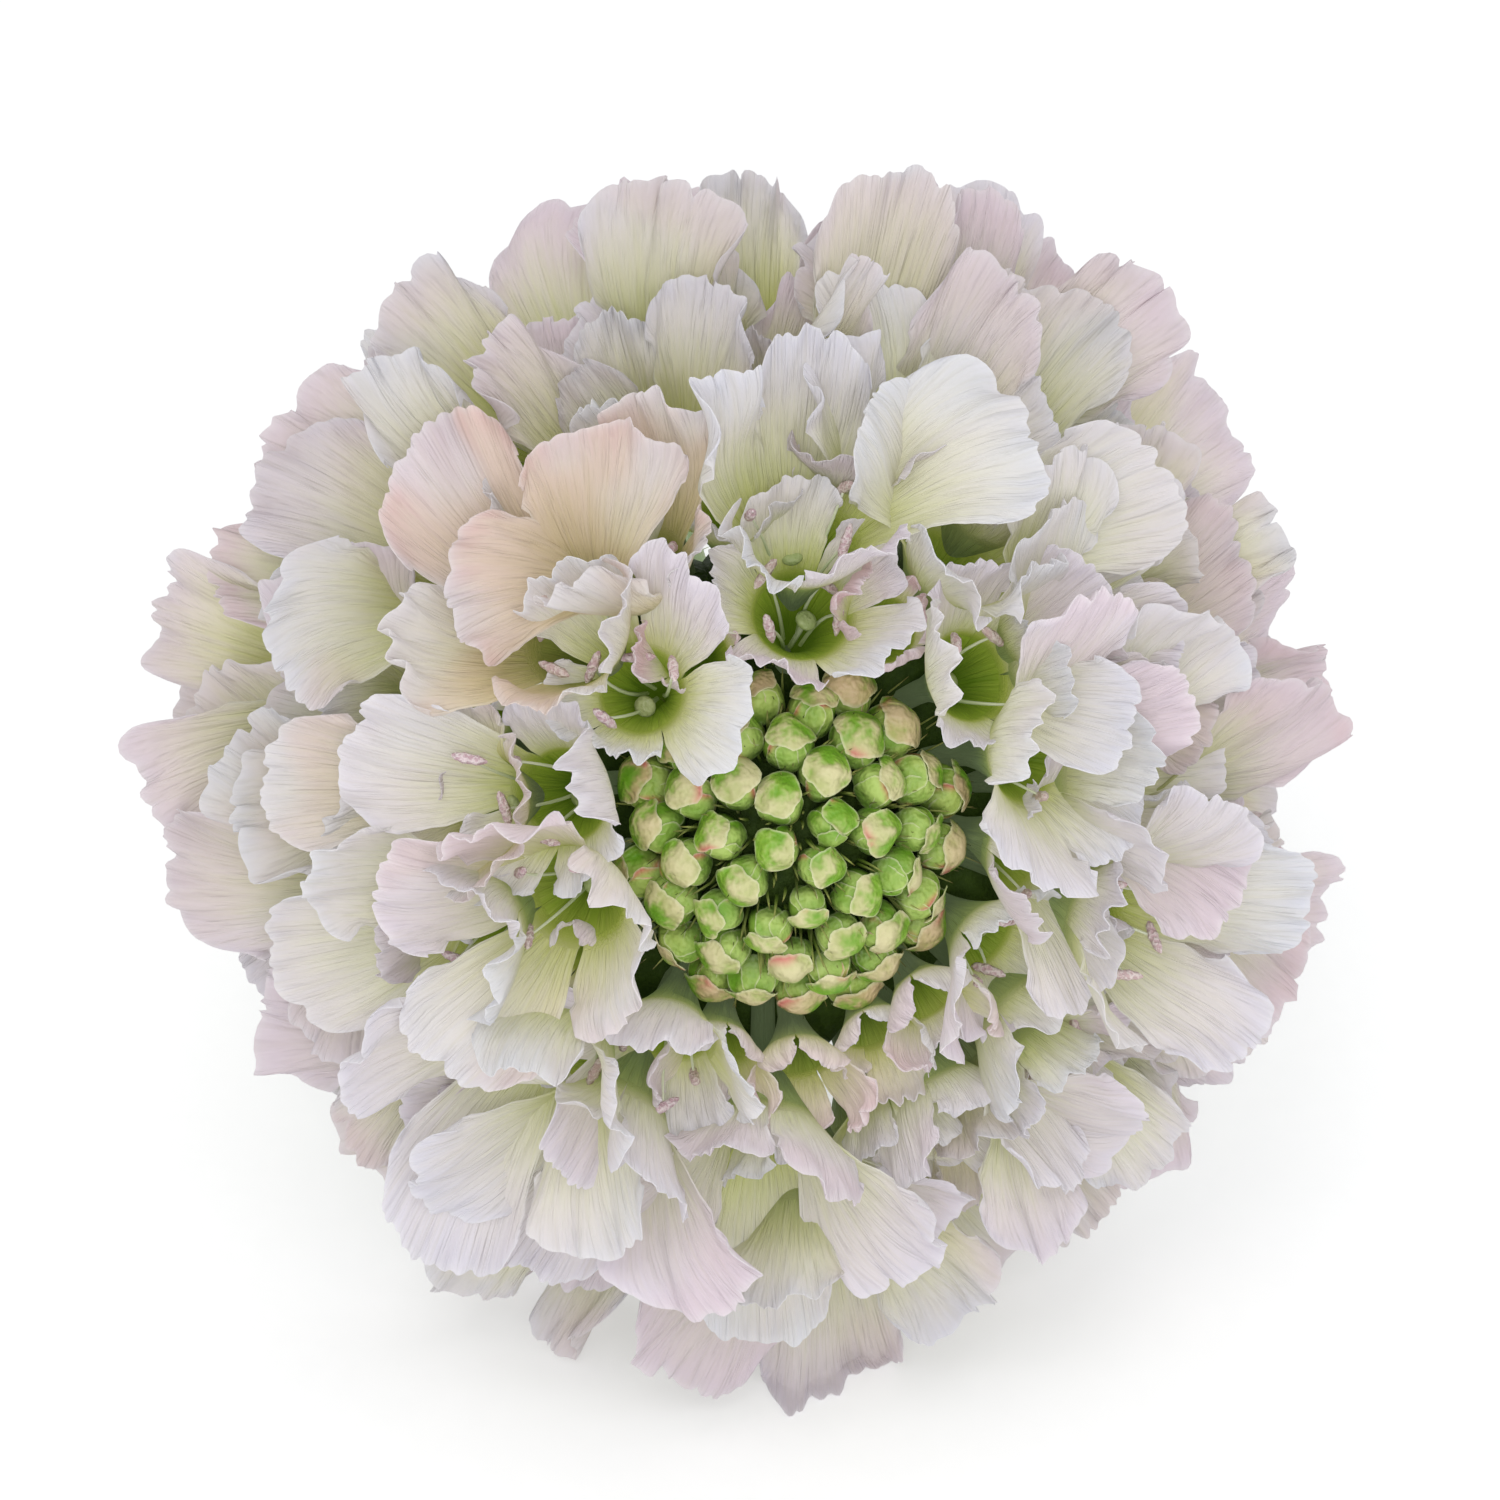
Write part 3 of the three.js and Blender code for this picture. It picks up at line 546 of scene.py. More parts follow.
def make_way(florets, sweeps=2):
    """Bends, sways or shortens lobes a little where they would cut through other florets."""
    lobe_faces = grid_triangles(len(COARSE_ALONG) - 1, len(COARSE_ACROSS) - 1)
    funnel_faces = grid_triangles(4, 8, wrap=True)
    shapes = {}
    for f in florets:
        name = (f["r"], f["i"])
        shapes[name, -1] = measured(coarse_funnel(f), funnel_faces)
        for k, lobe in enumerate(f["lobes"]):
            shapes[name, k] = measured(coarse_lobe(f, lobe), lobe_faces)
    moved = 0
    for _ in range(sweeps):
        for f in florets:
            for k, lobe in enumerate(f["lobes"]):
                moved += give_way(f, k, lobe, shapes, lobe_faces)
    print("lobes moved", moved)


def measured(points, faces):
    """A coarse shape with its middle and its reach from there."""
    return points, faces, points.mean(axis=0), np.ptp(points, axis=0).max() / 2


def give_way(f, k, lobe, shapes, faces):
    own = (f["r"], f["i"])
    centre, reach = shapes[own, k][2:]
    points, triangles, count = [], [], 0
    for (name, _), (other, other_faces, middle, extent) in shapes.items():
        if name != own and np.abs(middle - centre).max() < reach + NEAR + extent:
            points += other.tolist()
            triangles += [(a + count, b + count, c + count) for a, b, c in other_faces]
            count += len(other)
    if not points:
        return 0
    around = BVHTree.FromPolygons(points, triangles)
    kept = {name: lobe[name] for name in ("flare", "sway", "length")}
    best = None
    for bend, sway, size, cost in WAYS:
        if best and cost >= best[0]:
            continue
        lobe.update(flare=kept["flare"] + math.radians(bend), sway=kept["sway"] + sway,
                    length=kept["length"] * size)
        shape = coarse_lobe(f, lobe)
        cuts = len(BVHTree.FromPolygons(shape.tolist(), faces).overlap(around))
        if best is None or cuts * 0.5 + cost < best[0]:
            best = (cuts * 0.5 + cost, {name: lobe[name] for name in kept}, shape)
        if cuts == 0 and cost == 0:
            break
    lobe.update(best[1])
    shapes[own, k] = measured(best[2], faces)
    return int(best[1] != kept)


# ---- Stamens and stigmas ----

def tube_mesh(route, radii, sides):
    """A closed round tube along points, with one radius a point."""
    route = np.asarray(route, float)
    along = np.gradient(route, axis=0)
    along /= np.maximum(np.linalg.norm(along, axis=1), 1e-9)[:, None]
    helper = np.array([0.31, 0.82, 0.48])
    u = np.cross(along, helper)
    u /= np.linalg.norm(u, axis=1)[:, None]
    v = np.cross(along, u)
    turn = np.linspace(0, 2 * math.pi, sides, endpoint=False)
    ring = (np.cos(turn)[None, :, None] * u[:, None] + np.sin(turn)[None, :, None] * v[:, None])
    points = route[:, None] + ring * np.asarray(radii, float)[:, None, None]
    rows = len(route)
    points = np.concatenate([points.reshape(-1, 3), route[:1], route[-1:]])
    triangles = grid_triangles(rows - 1, sides, wrap=True)
    for s in range(sides):
        n = (s + 1) % sides
        triangles.append((rows * sides, n, s))
        triangles.append((rows * sides + 1, (rows - 1) * sides + s, (rows - 1) * sides + n))
    return points, np.array(triangles)


def stamens(filaments, anthers, f):
    """Four stamens: a pale filament out of the throat, with a bar-shaped anther across its end."""
    r, i = f["r"], f["i"]
    throat_r, throat_h = funnel_at(f, 1.0)
    for n in range(4):
        if draw(0, 1, r, i, 60 + n) > 0.72:
            continue
        turn = math.radians(-100 + 66 * n + draw(-20, 20, r, i, 64 + n))
        out = math.cos(turn) * f["side"] + math.sin(turn) * f["cross"]
        reach = draw(0.6, 3.0, r, i, 68 + n)
        start = f["mouth"] + out * TUBE_RADIUS * 0.8 + f["axis"] * 0.3
        mid = f["mouth"] + out * throat_r * 0.5 + f["axis"] * throat_h * 0.9
        end = f["mouth"] + out * (throat_r * 0.7 + 0.35 * reach) + f["axis"] * (throat_h + reach)
        aside = np.cross(f["axis"], out) * draw(-0.9, 0.9, r, i, 88 + n)
        t = np.linspace(0, 1, 7)[:, None]
        route = (1 - t) ** 2 * start + 2 * t * (1 - t) * (mid + aside) + t ** 2 * end
        points, triangles = tube_mesh(route, np.linspace(0.11, 0.06, 7), 6)
        filaments.add(settle(points, -1), triangles,
                      along=np.repeat(np.linspace(0, 1, 7), 6).tolist() + [0, 1])
        lie = unit(turned(np.cross(f["axis"], out), out, draw(-1.2, 1.2, r, i, 72 + n)))
        t = np.linspace(-1, 1, 9)
        bow = draw(-0.25, 0.25, r, i, 76 + n)
        route = end + np.outer(t * 0.86, lie) + np.outer(bow * t ** 2, f["axis"])
        radii = 0.25 * np.sqrt(np.clip(1.06 - t ** 2, 0.02, 1)) * (1 + 0.12 * np.sin(9 * t + n))
        points, triangles = tube_mesh(route, radii, 8)
        anthers.add(settle(points, -1), triangles, shade=draw(0, 1, r, i, 80 + n))


def stigma(filaments, discs, f):
    """The style, with its round stigma a little over the throat."""
    r, i = f["r"], f["i"]
    throat_h = funnel_at(f, 1.0)[1]
    tilt = draw(-0.5, 0.5, r, i, 84) * f["side"] + draw(-0.5, 0.5, r, i, 85) * f["cross"]
    end = f["mouth"] + f["axis"] * (throat_h * draw(0.5, 1.0, r, i, 86)) + tilt
    t = np.linspace(0, 1, 5)[:, None]
    points, triangles = tube_mesh(f["mouth"] * (1 - t) + end * t, [0.13] * 5, 6)
    filaments.add(points, triangles, along=np.repeat(np.linspace(0, 1, 5), 6).tolist() + [0, 1])
    face = unit(f["axis"] + 0.8 * tilt)
    t = np.array([-1, -0.85, -0.4, 0.2, 0.7, 0.95, 0.8])
    wide = np.array([0.16, 0.42, 0.52, 0.52, 0.42, 0.24, 0.06])
    points, triangles = tube_mesh(end + np.outer(t * 0.24, face), wide, 14)
    discs.add(points, triangles, shade=draw(0, 1, r, i, 87))


# ---- Buds ----

def bud_frame(n):
    share = n / BUD_COUNT
    angle = math.radians(BUD_SPREAD) * math.sqrt((n + 0.35) / BUD_COUNT)
    turn = math.radians(BUD_TURN) * n
    axis = slanted(angle, turn)
    out = slanted(angle + math.pi / 2, turn)
    out = turned(out, axis, draw(-0.5, 0.5, 8, n, 1))
    return dict(n=n, share=share, axis=axis, out=out, cross=np.cross(axis, out),
                middle=axis * BUD_LEVEL,
                radius=(BUD_RADIUS + BUD_GROWTH * math.sqrt(share)) * draw(0.85, 0.97, 8, n, 7))


def bud_surface(bud, polar, turn, over=0.0):
    """Points on a bud, by the angle from its tip and the turn round it, lifted by over."""
    n = bud["n"]
    shape = 1 + 0.05 * np.cos(4 * turn + phase(8, n, 2)) * np.sin(polar) ** 2
    shape = shape + 0.03 * np.cos(3 * turn + phase(8, n, 3)) * np.sin(polar)
    low = 1 - 0.28 * ramp(1.7, 3.0, polar)
    r = bud["radius"] * shape * low + over
    across = np.sin(polar) * r
    up = np.cos(polar) * (r * BUD_STRETCH) * 0.98
    return (bud["middle"] + (across * np.cos(turn))[:, None] * bud["out"]
            + (across * np.sin(turn))[:, None] * bud["cross"] + up[:, None] * bud["axis"])


def bud_body(piece, bud):
    rows, cols = 12, 22
    polar = np.repeat(np.linspace(0.02, math.pi - 0.02, rows + 1), cols)
    turn = np.tile(np.linspace(0, 2 * math.pi, cols, endpoint=False), rows + 1)
    points = bud_surface(bud, polar, turn)
    triangles = grid_triangles(rows, cols, wrap=True, outward=True)
    for c in range(1, cols - 1):
        triangles.append((0, c, c + 1))
        last = rows * cols
        triangles.append((last, last + c + 1, last + c))
    piece.add(points, triangles, up=np.cos(polar), age=bud["share"], shade=draw(0, 1, 8, bud["n"], 4))


def bud_scale(piece, bud, number, tilt, toward, wide, over, beige):
    """One petal lobe folded over a bud, as a curved patch with an uneven raised rim."""
    n = bud["n"]
    rings, cols = 8, 36
    t = np.concatenate([[0.0], np.repeat(np.arange(1, rings + 1) / rings, cols)])
    c = np.concatenate([[0.0], np.tile(np.linspace(0, 2 * math.pi, cols, endpoint=False), rings)])
    corners = 4 + int(draw(0, 2, 9, n, number))
    start = phase(9, n, number + 10)
    uneven = 1 + 0.07 * np.cos(corners * c + start) + 0.06 * np.cos(2 * c + start * 2)
    uneven = uneven - 0.05 * np.abs(np.sin(7 * c + start)) ** 0.6 * ramp(0.7, 1, t)
    uneven = uneven - 0.025 * np.abs(np.sin(17 * c + 3 * start)) ** 0.6 * ramp(0.8, 1, t)
    reach = t * wide * uneven
    local = np.stack([np.sin(reach) * np.cos(c), np.sin(reach) * np.sin(c), np.cos(reach)], 1)
    ct, st = math.cos(tilt), math.sin(tilt)
    x = local[:, 0] * ct + local[:, 2] * st
    z = -local[:, 0] * st + local[:, 2] * ct
    polar = np.arccos(np.clip(z, -1, 1))
    turn = np.arctan2(local[:, 1], x) + toward
    rise = 0.1 if number == 4 else 0.035
    lifted = over + rise * ramp(0.7, 1, t) * (1 + 0.6 * np.sin(3 * c + start))
    points = bud_surface(bud, polar, turn, lifted)
    triangles = [(0, 1 + k, 1 + (k + 1) % cols) for k in range(cols)]
    around = np.array(grid_triangles(rings - 1, cols, wrap=True, outward=True)) + 1
    triangles = np.concatenate([triangles, around])
    inward = -np.cos(turn) * np.sin(polar)
    solid, faces = shell(points, triangles, open_edges(triangles), 0.05)
    spotted = draw(0, 1, 9, n, number + 30) < 0.5 + 0.4 * bud["share"]
    spot = ramp(0.45, 0.95, t * np.cos(c - phase(9, n, number + 20))) * spotted
    piece.add(solid, faces, edge=twice(ramp(0.88, 1.0, t)), inward=twice(inward), up=twice(z),
              beige=beige, spot=twice(spot), seed=draw(0, 40, 9, n, number + 40), age=bud["share"])


def bristles(piece, middle, axis, out, foot, level, length, count, key):
    """Thin pointed awns that stand round the foot of a bud or floret."""
    cross = np.cross(axis, out)
    for b in range(count):
        turn = 2 * math.pi * (b + draw(-0.3, 0.3, *key, b)) / count
        away = math.cos(turn) * out + math.sin(turn) * cross
        lean = draw(0.0, 0.32, *key, 20 + b)
        long = length * draw(0.75, 1.15, *key, 40 + b)
        t = np.linspace(0, 1, 6)
        bow = draw(-0.2, 0.25, *key, 60 + b)
        base = middle + away * foot + axis * level
        route = (base + np.outer(t * long, axis) + np.outer(lean * t * long + bow * t ** 2, away)
                 + np.outer(draw(-0.2, 0.2, *key, 80 + b) * t * long, np.cross(axis, away)))
        points, triangles = tube_mesh(route, 0.085 * (1 - t) ** 0.8 + 0.012, 5)
        piece.add(points, triangles, along=np.repeat(t, 5).tolist() + [0, 1],
                  shade=draw(0, 1, *key, 100 + b))


def make_buds():
    bodies, caps, awns = Piece("bud_bodies"), Piece("bud_caps"), Piece("bud_bristles")
    for n in range(BUD_COUNT):
        bud = bud_frame(n)
        bud_body(bodies, bud)
        opened = draw(0, 1, 8, n, 5)
        for k, side in enumerate((2.2, -2.2, math.pi)):
            bud_scale(caps, bud, k + 1, 0.95, side + draw(-0.3, 0.3, 8, n, 10 + k), 0.74,
                      0.02 + 0.03 * k, 0.2)
        wide = lerp(1.1, 0.78, opened ** 2) + 0.06 * bud["share"]
        bud_scale(caps, bud, 4, lerp(0.1, 0.55, opened), draw(-0.6, 0.6, 8, n, 6), wide, 0.19,
                  0.8 + 0.2 * bud["share"])
        bristles(awns, bud["middle"], bud["axis"], bud["out"], bud["radius"] * 1.12,
                 -bud["radius"] * 0.9, 2.1, 7, (10, n))
    return bodies, caps, awns


# ---- Florets, young florets and their green feet ----

# Half-open florets between the buds and the inner ring: turn, how far open, peach and rose tints.
YOUNG = dict(count=24, base=80, leave=88, lean=30, tube=6.2, funnel=2.6, throat=36,
             lobe=3.9, width=5.4, flare=6, curl=-52, ruffle=0.6, fan=0)
YOUNG_AT = [(204, 0.5, 0.6, 0.1), (288, 0.6, 0.3, 0.2), (307, 0.4, 0.4, 0.4), (268, 0.9, 0.3, 0.5),
            (248, 0.7, 0.3, 0.4), (113, 0.6, 0.1, 1.5), (66, 0.5, 0.1, 1.7)]
YOUNG_REACH = 10
# Tinted florets: ring, turn in degrees, peach and rose tints.
TINTS = [(1, 68, 0.75, 0.1), (1, 122, 0.7, 0.1), (1, 163, 0.4, 0.2), (0, 180, 0.2, 0.3),
         (2, 0, 0.1, 0.6), (3, 358, 0.1, 0.75), (2, 27, 0.3, 0.3), (3, 60, 0.0, 0.55),
         (3, 149, 0.0, 0.65), (2, 150, 0.1, 0.55), (2, 215, 0.2, 0.45), (2, 248, 0.35, 0.2),
         (2, 310, 0.3, 0.2), (0, 286, 0.1, 0.6), (0, 222, 0.0, 0.45), (3, 330, 0.0, 0.4)]
TINT_WIDTH = 11


def tint_of(r, turn):
    """Peach and rose tint of a floret of ring r at a turn round the head."""
    for ring, at, peach, rose in TINTS:
        away = (math.degrees(turn) - at + 180) % 360 - 180
        if ring == r and abs(away) < TINT_WIDTH:
            return peach, rose
    return (0.16, 0.25) if r in (2, 3, 4) else (0.0, 0.2)


def half_open(turn):
    """Whether a place in the inner ring belongs to a half-open floret."""
    return any(abs((math.degrees(turn) - at + 180) % 360 - 180) < YOUNG_REACH for at, *_ in YOUNG_AT)


def make_florets():
    rings = {r: Piece(name) for r, name in RING_NAMES.items()}
    filaments, anthers, discs = Piece("filaments"), Piece("anthers"), Piece("stigmas")
    calyx, awns = Piece("calyx_cups"), Piece("calyx_bristles")
    florets = [floret_frame(ring, r, i) for r, ring in enumerate(RINGS) for i in range(ring["count"])]
    florets = [f for f in florets if f["r"] > 0 or not half_open(f["turn"])]
    florets += [floret_frame(BACK_RING, 4, i) for i in range(BACK_RING["count"])]
    florets += [floret_frame(FILL_RING, 6, i) for i in range(FILL_RING["count"])]
    young = []
    for i, (turn, opened, peach, rose) in enumerate(YOUNG_AT):
        ring = dict(YOUNG, turn=turn - 360 / YOUNG["count"] * i, flare=lerp(-6, 30, opened),
                    lobe=lerp(3.6, 5.2, opened))
        young.append(floret_frame(ring, 5, i))
    make_way(young + florets)
    for f in florets:
        peach, rose = tint_of(f["r"], f["turn"])
        corolla(rings[f["r"]], f, peach=peach, rose=rose)
        if f["r"] < 3:
            stamens(filaments, anthers, f)
            stigma(filaments, discs, f)
        calyx_cup(calyx, awns, f)
    buds = Piece("florets_young")
    for f, (_, _, peach, rose) in zip(young, YOUNG_AT):
        corolla(buds, f, peach=peach, rose=rose)
        calyx_cup(calyx, awns, f)
    return [*rings.values(), buds], [filaments, anthers, discs], [calyx, awns]


def calyx_cup(cups, awns, f):
    """The small ribbed green cup round the foot of a floret, with its bristles."""
    way = f["way"]
    t = np.array([0.0, 0.15, 0.4, 0.7, 0.95, 1.0, 0.9])
    wide = np.array([0.5, 0.75, 0.85, 0.9, 1.12, 1.05, 0.6])
    share = 1.1 + 2.2 * t
    route = np.stack([np.interp(share, range(TUBE_STEPS + 1), way[:, c]) for c in range(3)], 1)
    route[-1] = route[-3]
    route = route + np.outer(np.arange(len(t)) * 1e-4, f["axis"])
    points, triangles = tube_mesh(route, wide, 16)
    cups.add(points, triangles, along=np.repeat(t, 16).tolist() + [0, 1],
             rib=np.tile(np.arange(16) % 2, len(t)).tolist() + [0, 0])
    axis = unit(way[4] - way[2])
    out = unit(np.cross(axis, np.array([0.3, 0.5, 0.8])))
    bristles(awns, way[3], axis, out, 0.75, -0.2, 3.2, 5, (11, f["r"] * 20 + f["i"]))


# ---- Receptacle, involucre and stem ----

CUP_OUTLINE = [(0.0, -5.3), (2.6, -4.75), (3.9, -4.9), (4.05, -5.5), (3.8, -6.2), (3.0, -7.3),
               (2.35, -8.1), (1.95, -8.9), (1.75, -9.3), (1.3, -9.35), (0.0, -9.3)]
BRACT_COUNT = 12
BRACT_ROOT = (3.4, -5.6)
BRACT_LENGTH = 13
BRACT_WIDTH = 3.4
BRACT_ROWS = [(0, 0.5), (0.15, 0.78), (0.35, 1), (0.55, 0.9), (0.7, 0.72), (0.85, 0.42), (1, 0.06)]
STEM_RADIUS = 1.1
STEM_LENGTH = 98
STEM_BEND = 3
STEM_TOP = -7.1
HAIR_COUNT = 420
HAIR_RADII = [0.03, 0.022, 0.006]


def lathe(piece, outline, cols, wobble, ribs):
    """A solid of revolution about the flower's axis, from the first to the last outline point."""
    outline = np.array(outline, float)
    turn = np.linspace(0, 2 * math.pi, cols, endpoint=False)
    rib = 1 + wobble * np.cos(ribs * turn)
    points = np.array([(r * b * math.cos(a), r * b * math.sin(a), z)
                       for r, z in outline for a, b in zip(turn, rib)])
    piece.add(points, grid_triangles(len(outline) - 1, cols, wrap=True, outward=True))


def make_receptacle():
    piece = Piece("receptacle")
    polar = np.linspace(0.01, math.radians(150), 24)
    radius = lerp(7.3, 4.9, ramp(math.radians(56), math.radians(74), polar))
    outline = [(r * math.sin(p), r * math.cos(p)) for p, r in zip(polar[:11], radius)]
    outline += [(8.2, 1.6), (10.2, 1.5), (11.6, 1.0), (12.3, -0.5), (12.4, -2.0), (11.4, -3.2),
                (10.0, -4.1), (6.0, -4.4), (0.01, -4.5)]
    lathe(piece, outline, 216, 0.022, 54)
    return piece


def make_involucre():
    cup, leaves = Piece("involucre_cup"), Piece("bracts")
    outline = [(max(r, 0.01), z) for r, z in CUP_OUTLINE]
    fine = np.linspace(0, len(outline) - 1, 41)
    smooth = [tuple(np.interp(fine[n], range(len(outline)), [p[c] for p in outline]) for c in (0, 1))
              for n in range(len(fine))]
    lathe(cup, smooth, 72, 0.02, 24)
    for n in range(BRACT_COUNT):
        bract(leaves, n)
    return cup, leaves


def bract(piece, n):
    """A lance-shaped bract with a keel, waved edges and a fine point."""
    turn = 2 * math.pi * (n + draw(-0.15, 0.15, 7, n)) / BRACT_COUNT
    length = BRACT_LENGTH * (0.82 if n % 2 else 1) * draw(0.92, 1.08, 7, n, 1)
    slope = math.radians(draw(108, 113, 7, n, 2))
    side = slanted(math.pi / 2, turn + math.pi / 2)
    rows, cols = 30, 12
    along = np.repeat(np.linspace(0, 1, rows + 1), cols + 1)
    across = np.tile(np.linspace(-1, 1, cols + 1), rows + 1)
    wide = np.interp(along, *zip(*BRACT_ROWS))
    bow = slope + math.radians(10) * along
    out, down = slanted(math.pi / 2, turn), np.array([0, 0, 1.0])
    middle = out * BRACT_ROOT[0] + down * BRACT_ROOT[1]
    reach = np.outer(np.sin(bow), out) + np.outer(np.cos(bow), down)
    keel = np.outer(np.cos(bow), out) - np.outer(np.sin(bow), down)
    ripple = 1 + 0.03 * np.sin(34 * along + 5 * n) + 0.02 * np.sin(71 * along)
    waves = 0.12 * np.sin(11 * along + n + 1.5 * across) * np.abs(across)
    lift = 0.5 * wide * (1 - np.abs(across) ** 1.3) + waves
    points = (middle + reach * (length * along)[:, None] + keel * lift[:, None]
              + np.outer(across * wide * ripple * BRACT_WIDTH / 2, side))
    triangles = np.array(grid_triangles(rows, cols))
    thick = 0.45 - 0.25 * np.abs(across) ** 4
    solid, faces = shell(points, triangles, open_edges(triangles), thick)
    piece.add(solid, faces, along=twice(along), across=twice(across), seed=draw(0, 20, 7, n, 3))


def stem_middle(share):
    bend = STEM_BEND * np.sin(math.pi * share) * share
    return np.stack([bend, 0 * share, STEM_TOP - STEM_LENGTH * share], axis=-1)


def make_stem():
    stem, hairs = Piece("stem_skin"), Piece("stem_hairs")
    rows, sides = 90, 32
    share = np.concatenate([[0.0], np.linspace(0, 1, rows), [1.0]])
    middle = stem_middle(share)
    wide = STEM_RADIUS * (0.97 + 0.03 * np.sin(9 * share))
    wide[0] = wide[-1] = 0.02
    turn = np.linspace(0, 2 * math.pi, sides, endpoint=False)
    ridge = 1 + 0.035 * np.cos(8 * turn)
    x = np.outer(wide, np.cos(turn) * ridge)
    y = np.outer(wide, np.sin(turn) * ridge)
    points = middle[:, None] + np.stack([x, y, 0 * x], axis=-1)
    stem.add(points.reshape(-1, 3), grid_triangles(len(share) - 1, sides, wrap=True, outward=True),
             along=np.repeat(share, sides), around=np.tile(np.cos(4 * turn), len(share)),
             cut=np.repeat((np.arange(len(share)) >= len(share) - 1).astype(float), sides))
    for h in range(HAIR_COUNT):
        at, a = draw(0.01, 0.97, 12, h), draw(0, 2 * math.pi, 13, h)
        out = np.array([math.cos(a), math.sin(a), draw(-0.6, 0.2, 14, h)])
        foot = stem_middle(np.array(at)) + out * [1, 1, 0] * STEM_RADIUS * 0.97
        long = draw(0.3, 0.75, 15, h)
        route = [foot, foot + out * long * 0.5, foot + out * long]
        hair, faces = tube_mesh(route, HAIR_RADII, 3)
        hairs.add(hair, faces, shade=draw(0, 1, 16, h))
    return stem, hairs


# ---- Materials ----

class Paint:
    """A procedural material: its shader nodes, and short calls that add and join them."""

    def __init__(self, name):
        self.material = bpy.data.materials.new(name)
        self.material.use_nodes = True
        self.tree = self.material.node_tree
        self.shader = self.tree.nodes["Principled BSDF"]

    def node(self, kind, **settings):
        made = self.tree.nodes.new("ShaderNode" + kind)
        for name, value in settings.items():
            setattr(made, name, value)
        return made

    def put(self, socket, value):
        """Joins a socket to another node's output, or sets its value."""
        if hasattr(value, "is_output"):
            self.tree.links.new(value, socket)
        elif isinstance(value, tuple):
            socket.default_value = (*value, 1) if len(socket.default_value) == 4 else value
        else:
            socket.default_value = value

    def number(self, name):
        """A number that the mesh carries."""
        return self.node("Attribute", attribute_name=name).outputs["Fac"]

    def math(self, operation, a, b=0.0):
        made = self.node("Math", operation=operation)
        self.put(made.inputs[0], a)
        self.put(made.inputs[1], b)
        return made.outputs[0]

    def times(self, a, b):
        return self.math("MULTIPLY", a, b)

    def swing(self, noise, size):
        """A noise about its middle, from -size/2 to size/2."""
        return self.times(self.math("SUBTRACT", noise, 0.5), size)

    def between(self, value, low, high, to_low=0.0, to_high=1.0):
        made = self.node("MapRange", interpolation_type="SMOOTHSTEP")
        for socket, at in zip(made.inputs, (value, low, high, to_low, to_high)):
            self.put(socket, at)
        return made.outputs[0]

    def mix(self, share, a, b, blend="MIX"):
        made = self.node("Mix", data_type="RGBA", blend_type=blend)
        self.put(made.inputs["Factor"], share)
        self.put(made.inputs[6], a)
        self.put(made.inputs[7], b)
        return made.outputs[2]

    def stops(self, value, *colours):
        """A colour ramp through (place, colour) pairs."""
        made = self.node("ValToRGB")
        ramp_ = made.color_ramp
        while len(ramp_.elements) < len(colours):
            ramp_.elements.new(1.0)
        for element, (place, colour) in zip(ramp_.elements, colours):
            element.position, element.color = place, (*colour, 1)
        self.put(made.inputs[0], value)
        return made.outputs[0]

    def place(self, x, y, z=0.0):
        made = self.node("CombineXYZ")
        for socket, value in zip(made.inputs, (x, y, z)):
            self.put(socket, value)
        return made.outputs[0]

    def here(self):
        """The place on the piece, in metres."""
        return self.node("TexCoord").outputs["Object"]

    def noise(self, where, scale, detail=2.0, rough=0.5):
        made = self.node("TexNoise")
        self.put(made.inputs["Vector"], where)
        self.put(made.inputs["Scale"], scale)
        self.put(made.inputs["Detail"], detail)
        self.put(made.inputs["Roughness"], rough)
        return made.outputs["Fac"]

    def bump(self, height, strength, distance, under=None):
        made = self.node("Bump")
        self.put(made.inputs["Strength"], strength)
        self.put(made.inputs["Distance"], distance)
        self.put(made.inputs["Height"], height)
        if under is not None:
            self.put(made.inputs["Normal"], under)
        return made.outputs["Normal"]

    def glow(self, colour, strength):
        """Paints light into the surface as emission: a glow that stands in for the light thin stacked
        petals pass on to each other.
        """
        self.put(self.shader.inputs["Emission Color"], colour)
        self.put(self.shader.inputs["Emission Strength"], strength)
        self.material.cycles.emission_sampling = "NONE"

    def finish(self, colour, normal, roughness, specular=0.4, through=0.0):
        """Sets the surface. through is the share of light that a thin blade lets pass."""
        self.put(self.shader.inputs["Base Color"], colour)
        self.put(self.shader.inputs["Roughness"], roughness)
        if normal is not None:
            self.put(self.shader.inputs["Normal"], normal)
        self.put(self.shader.inputs["Specular IOR Level"], specular)
        if through:
            blade = self.node("BsdfTranslucent")
            self.put(blade.inputs["Color"], colour)
            self.put(blade.inputs["Normal"], normal)
            both = self.node("MixShader")
            self.put(both.inputs[0], through)
            self.put(both.inputs[1], self.shader.outputs[0])
            self.put(both.inputs[2], blade.outputs[0])
            self.put(self.tree.nodes["Material Output"].inputs[0], both.outputs[0])
        return self.material


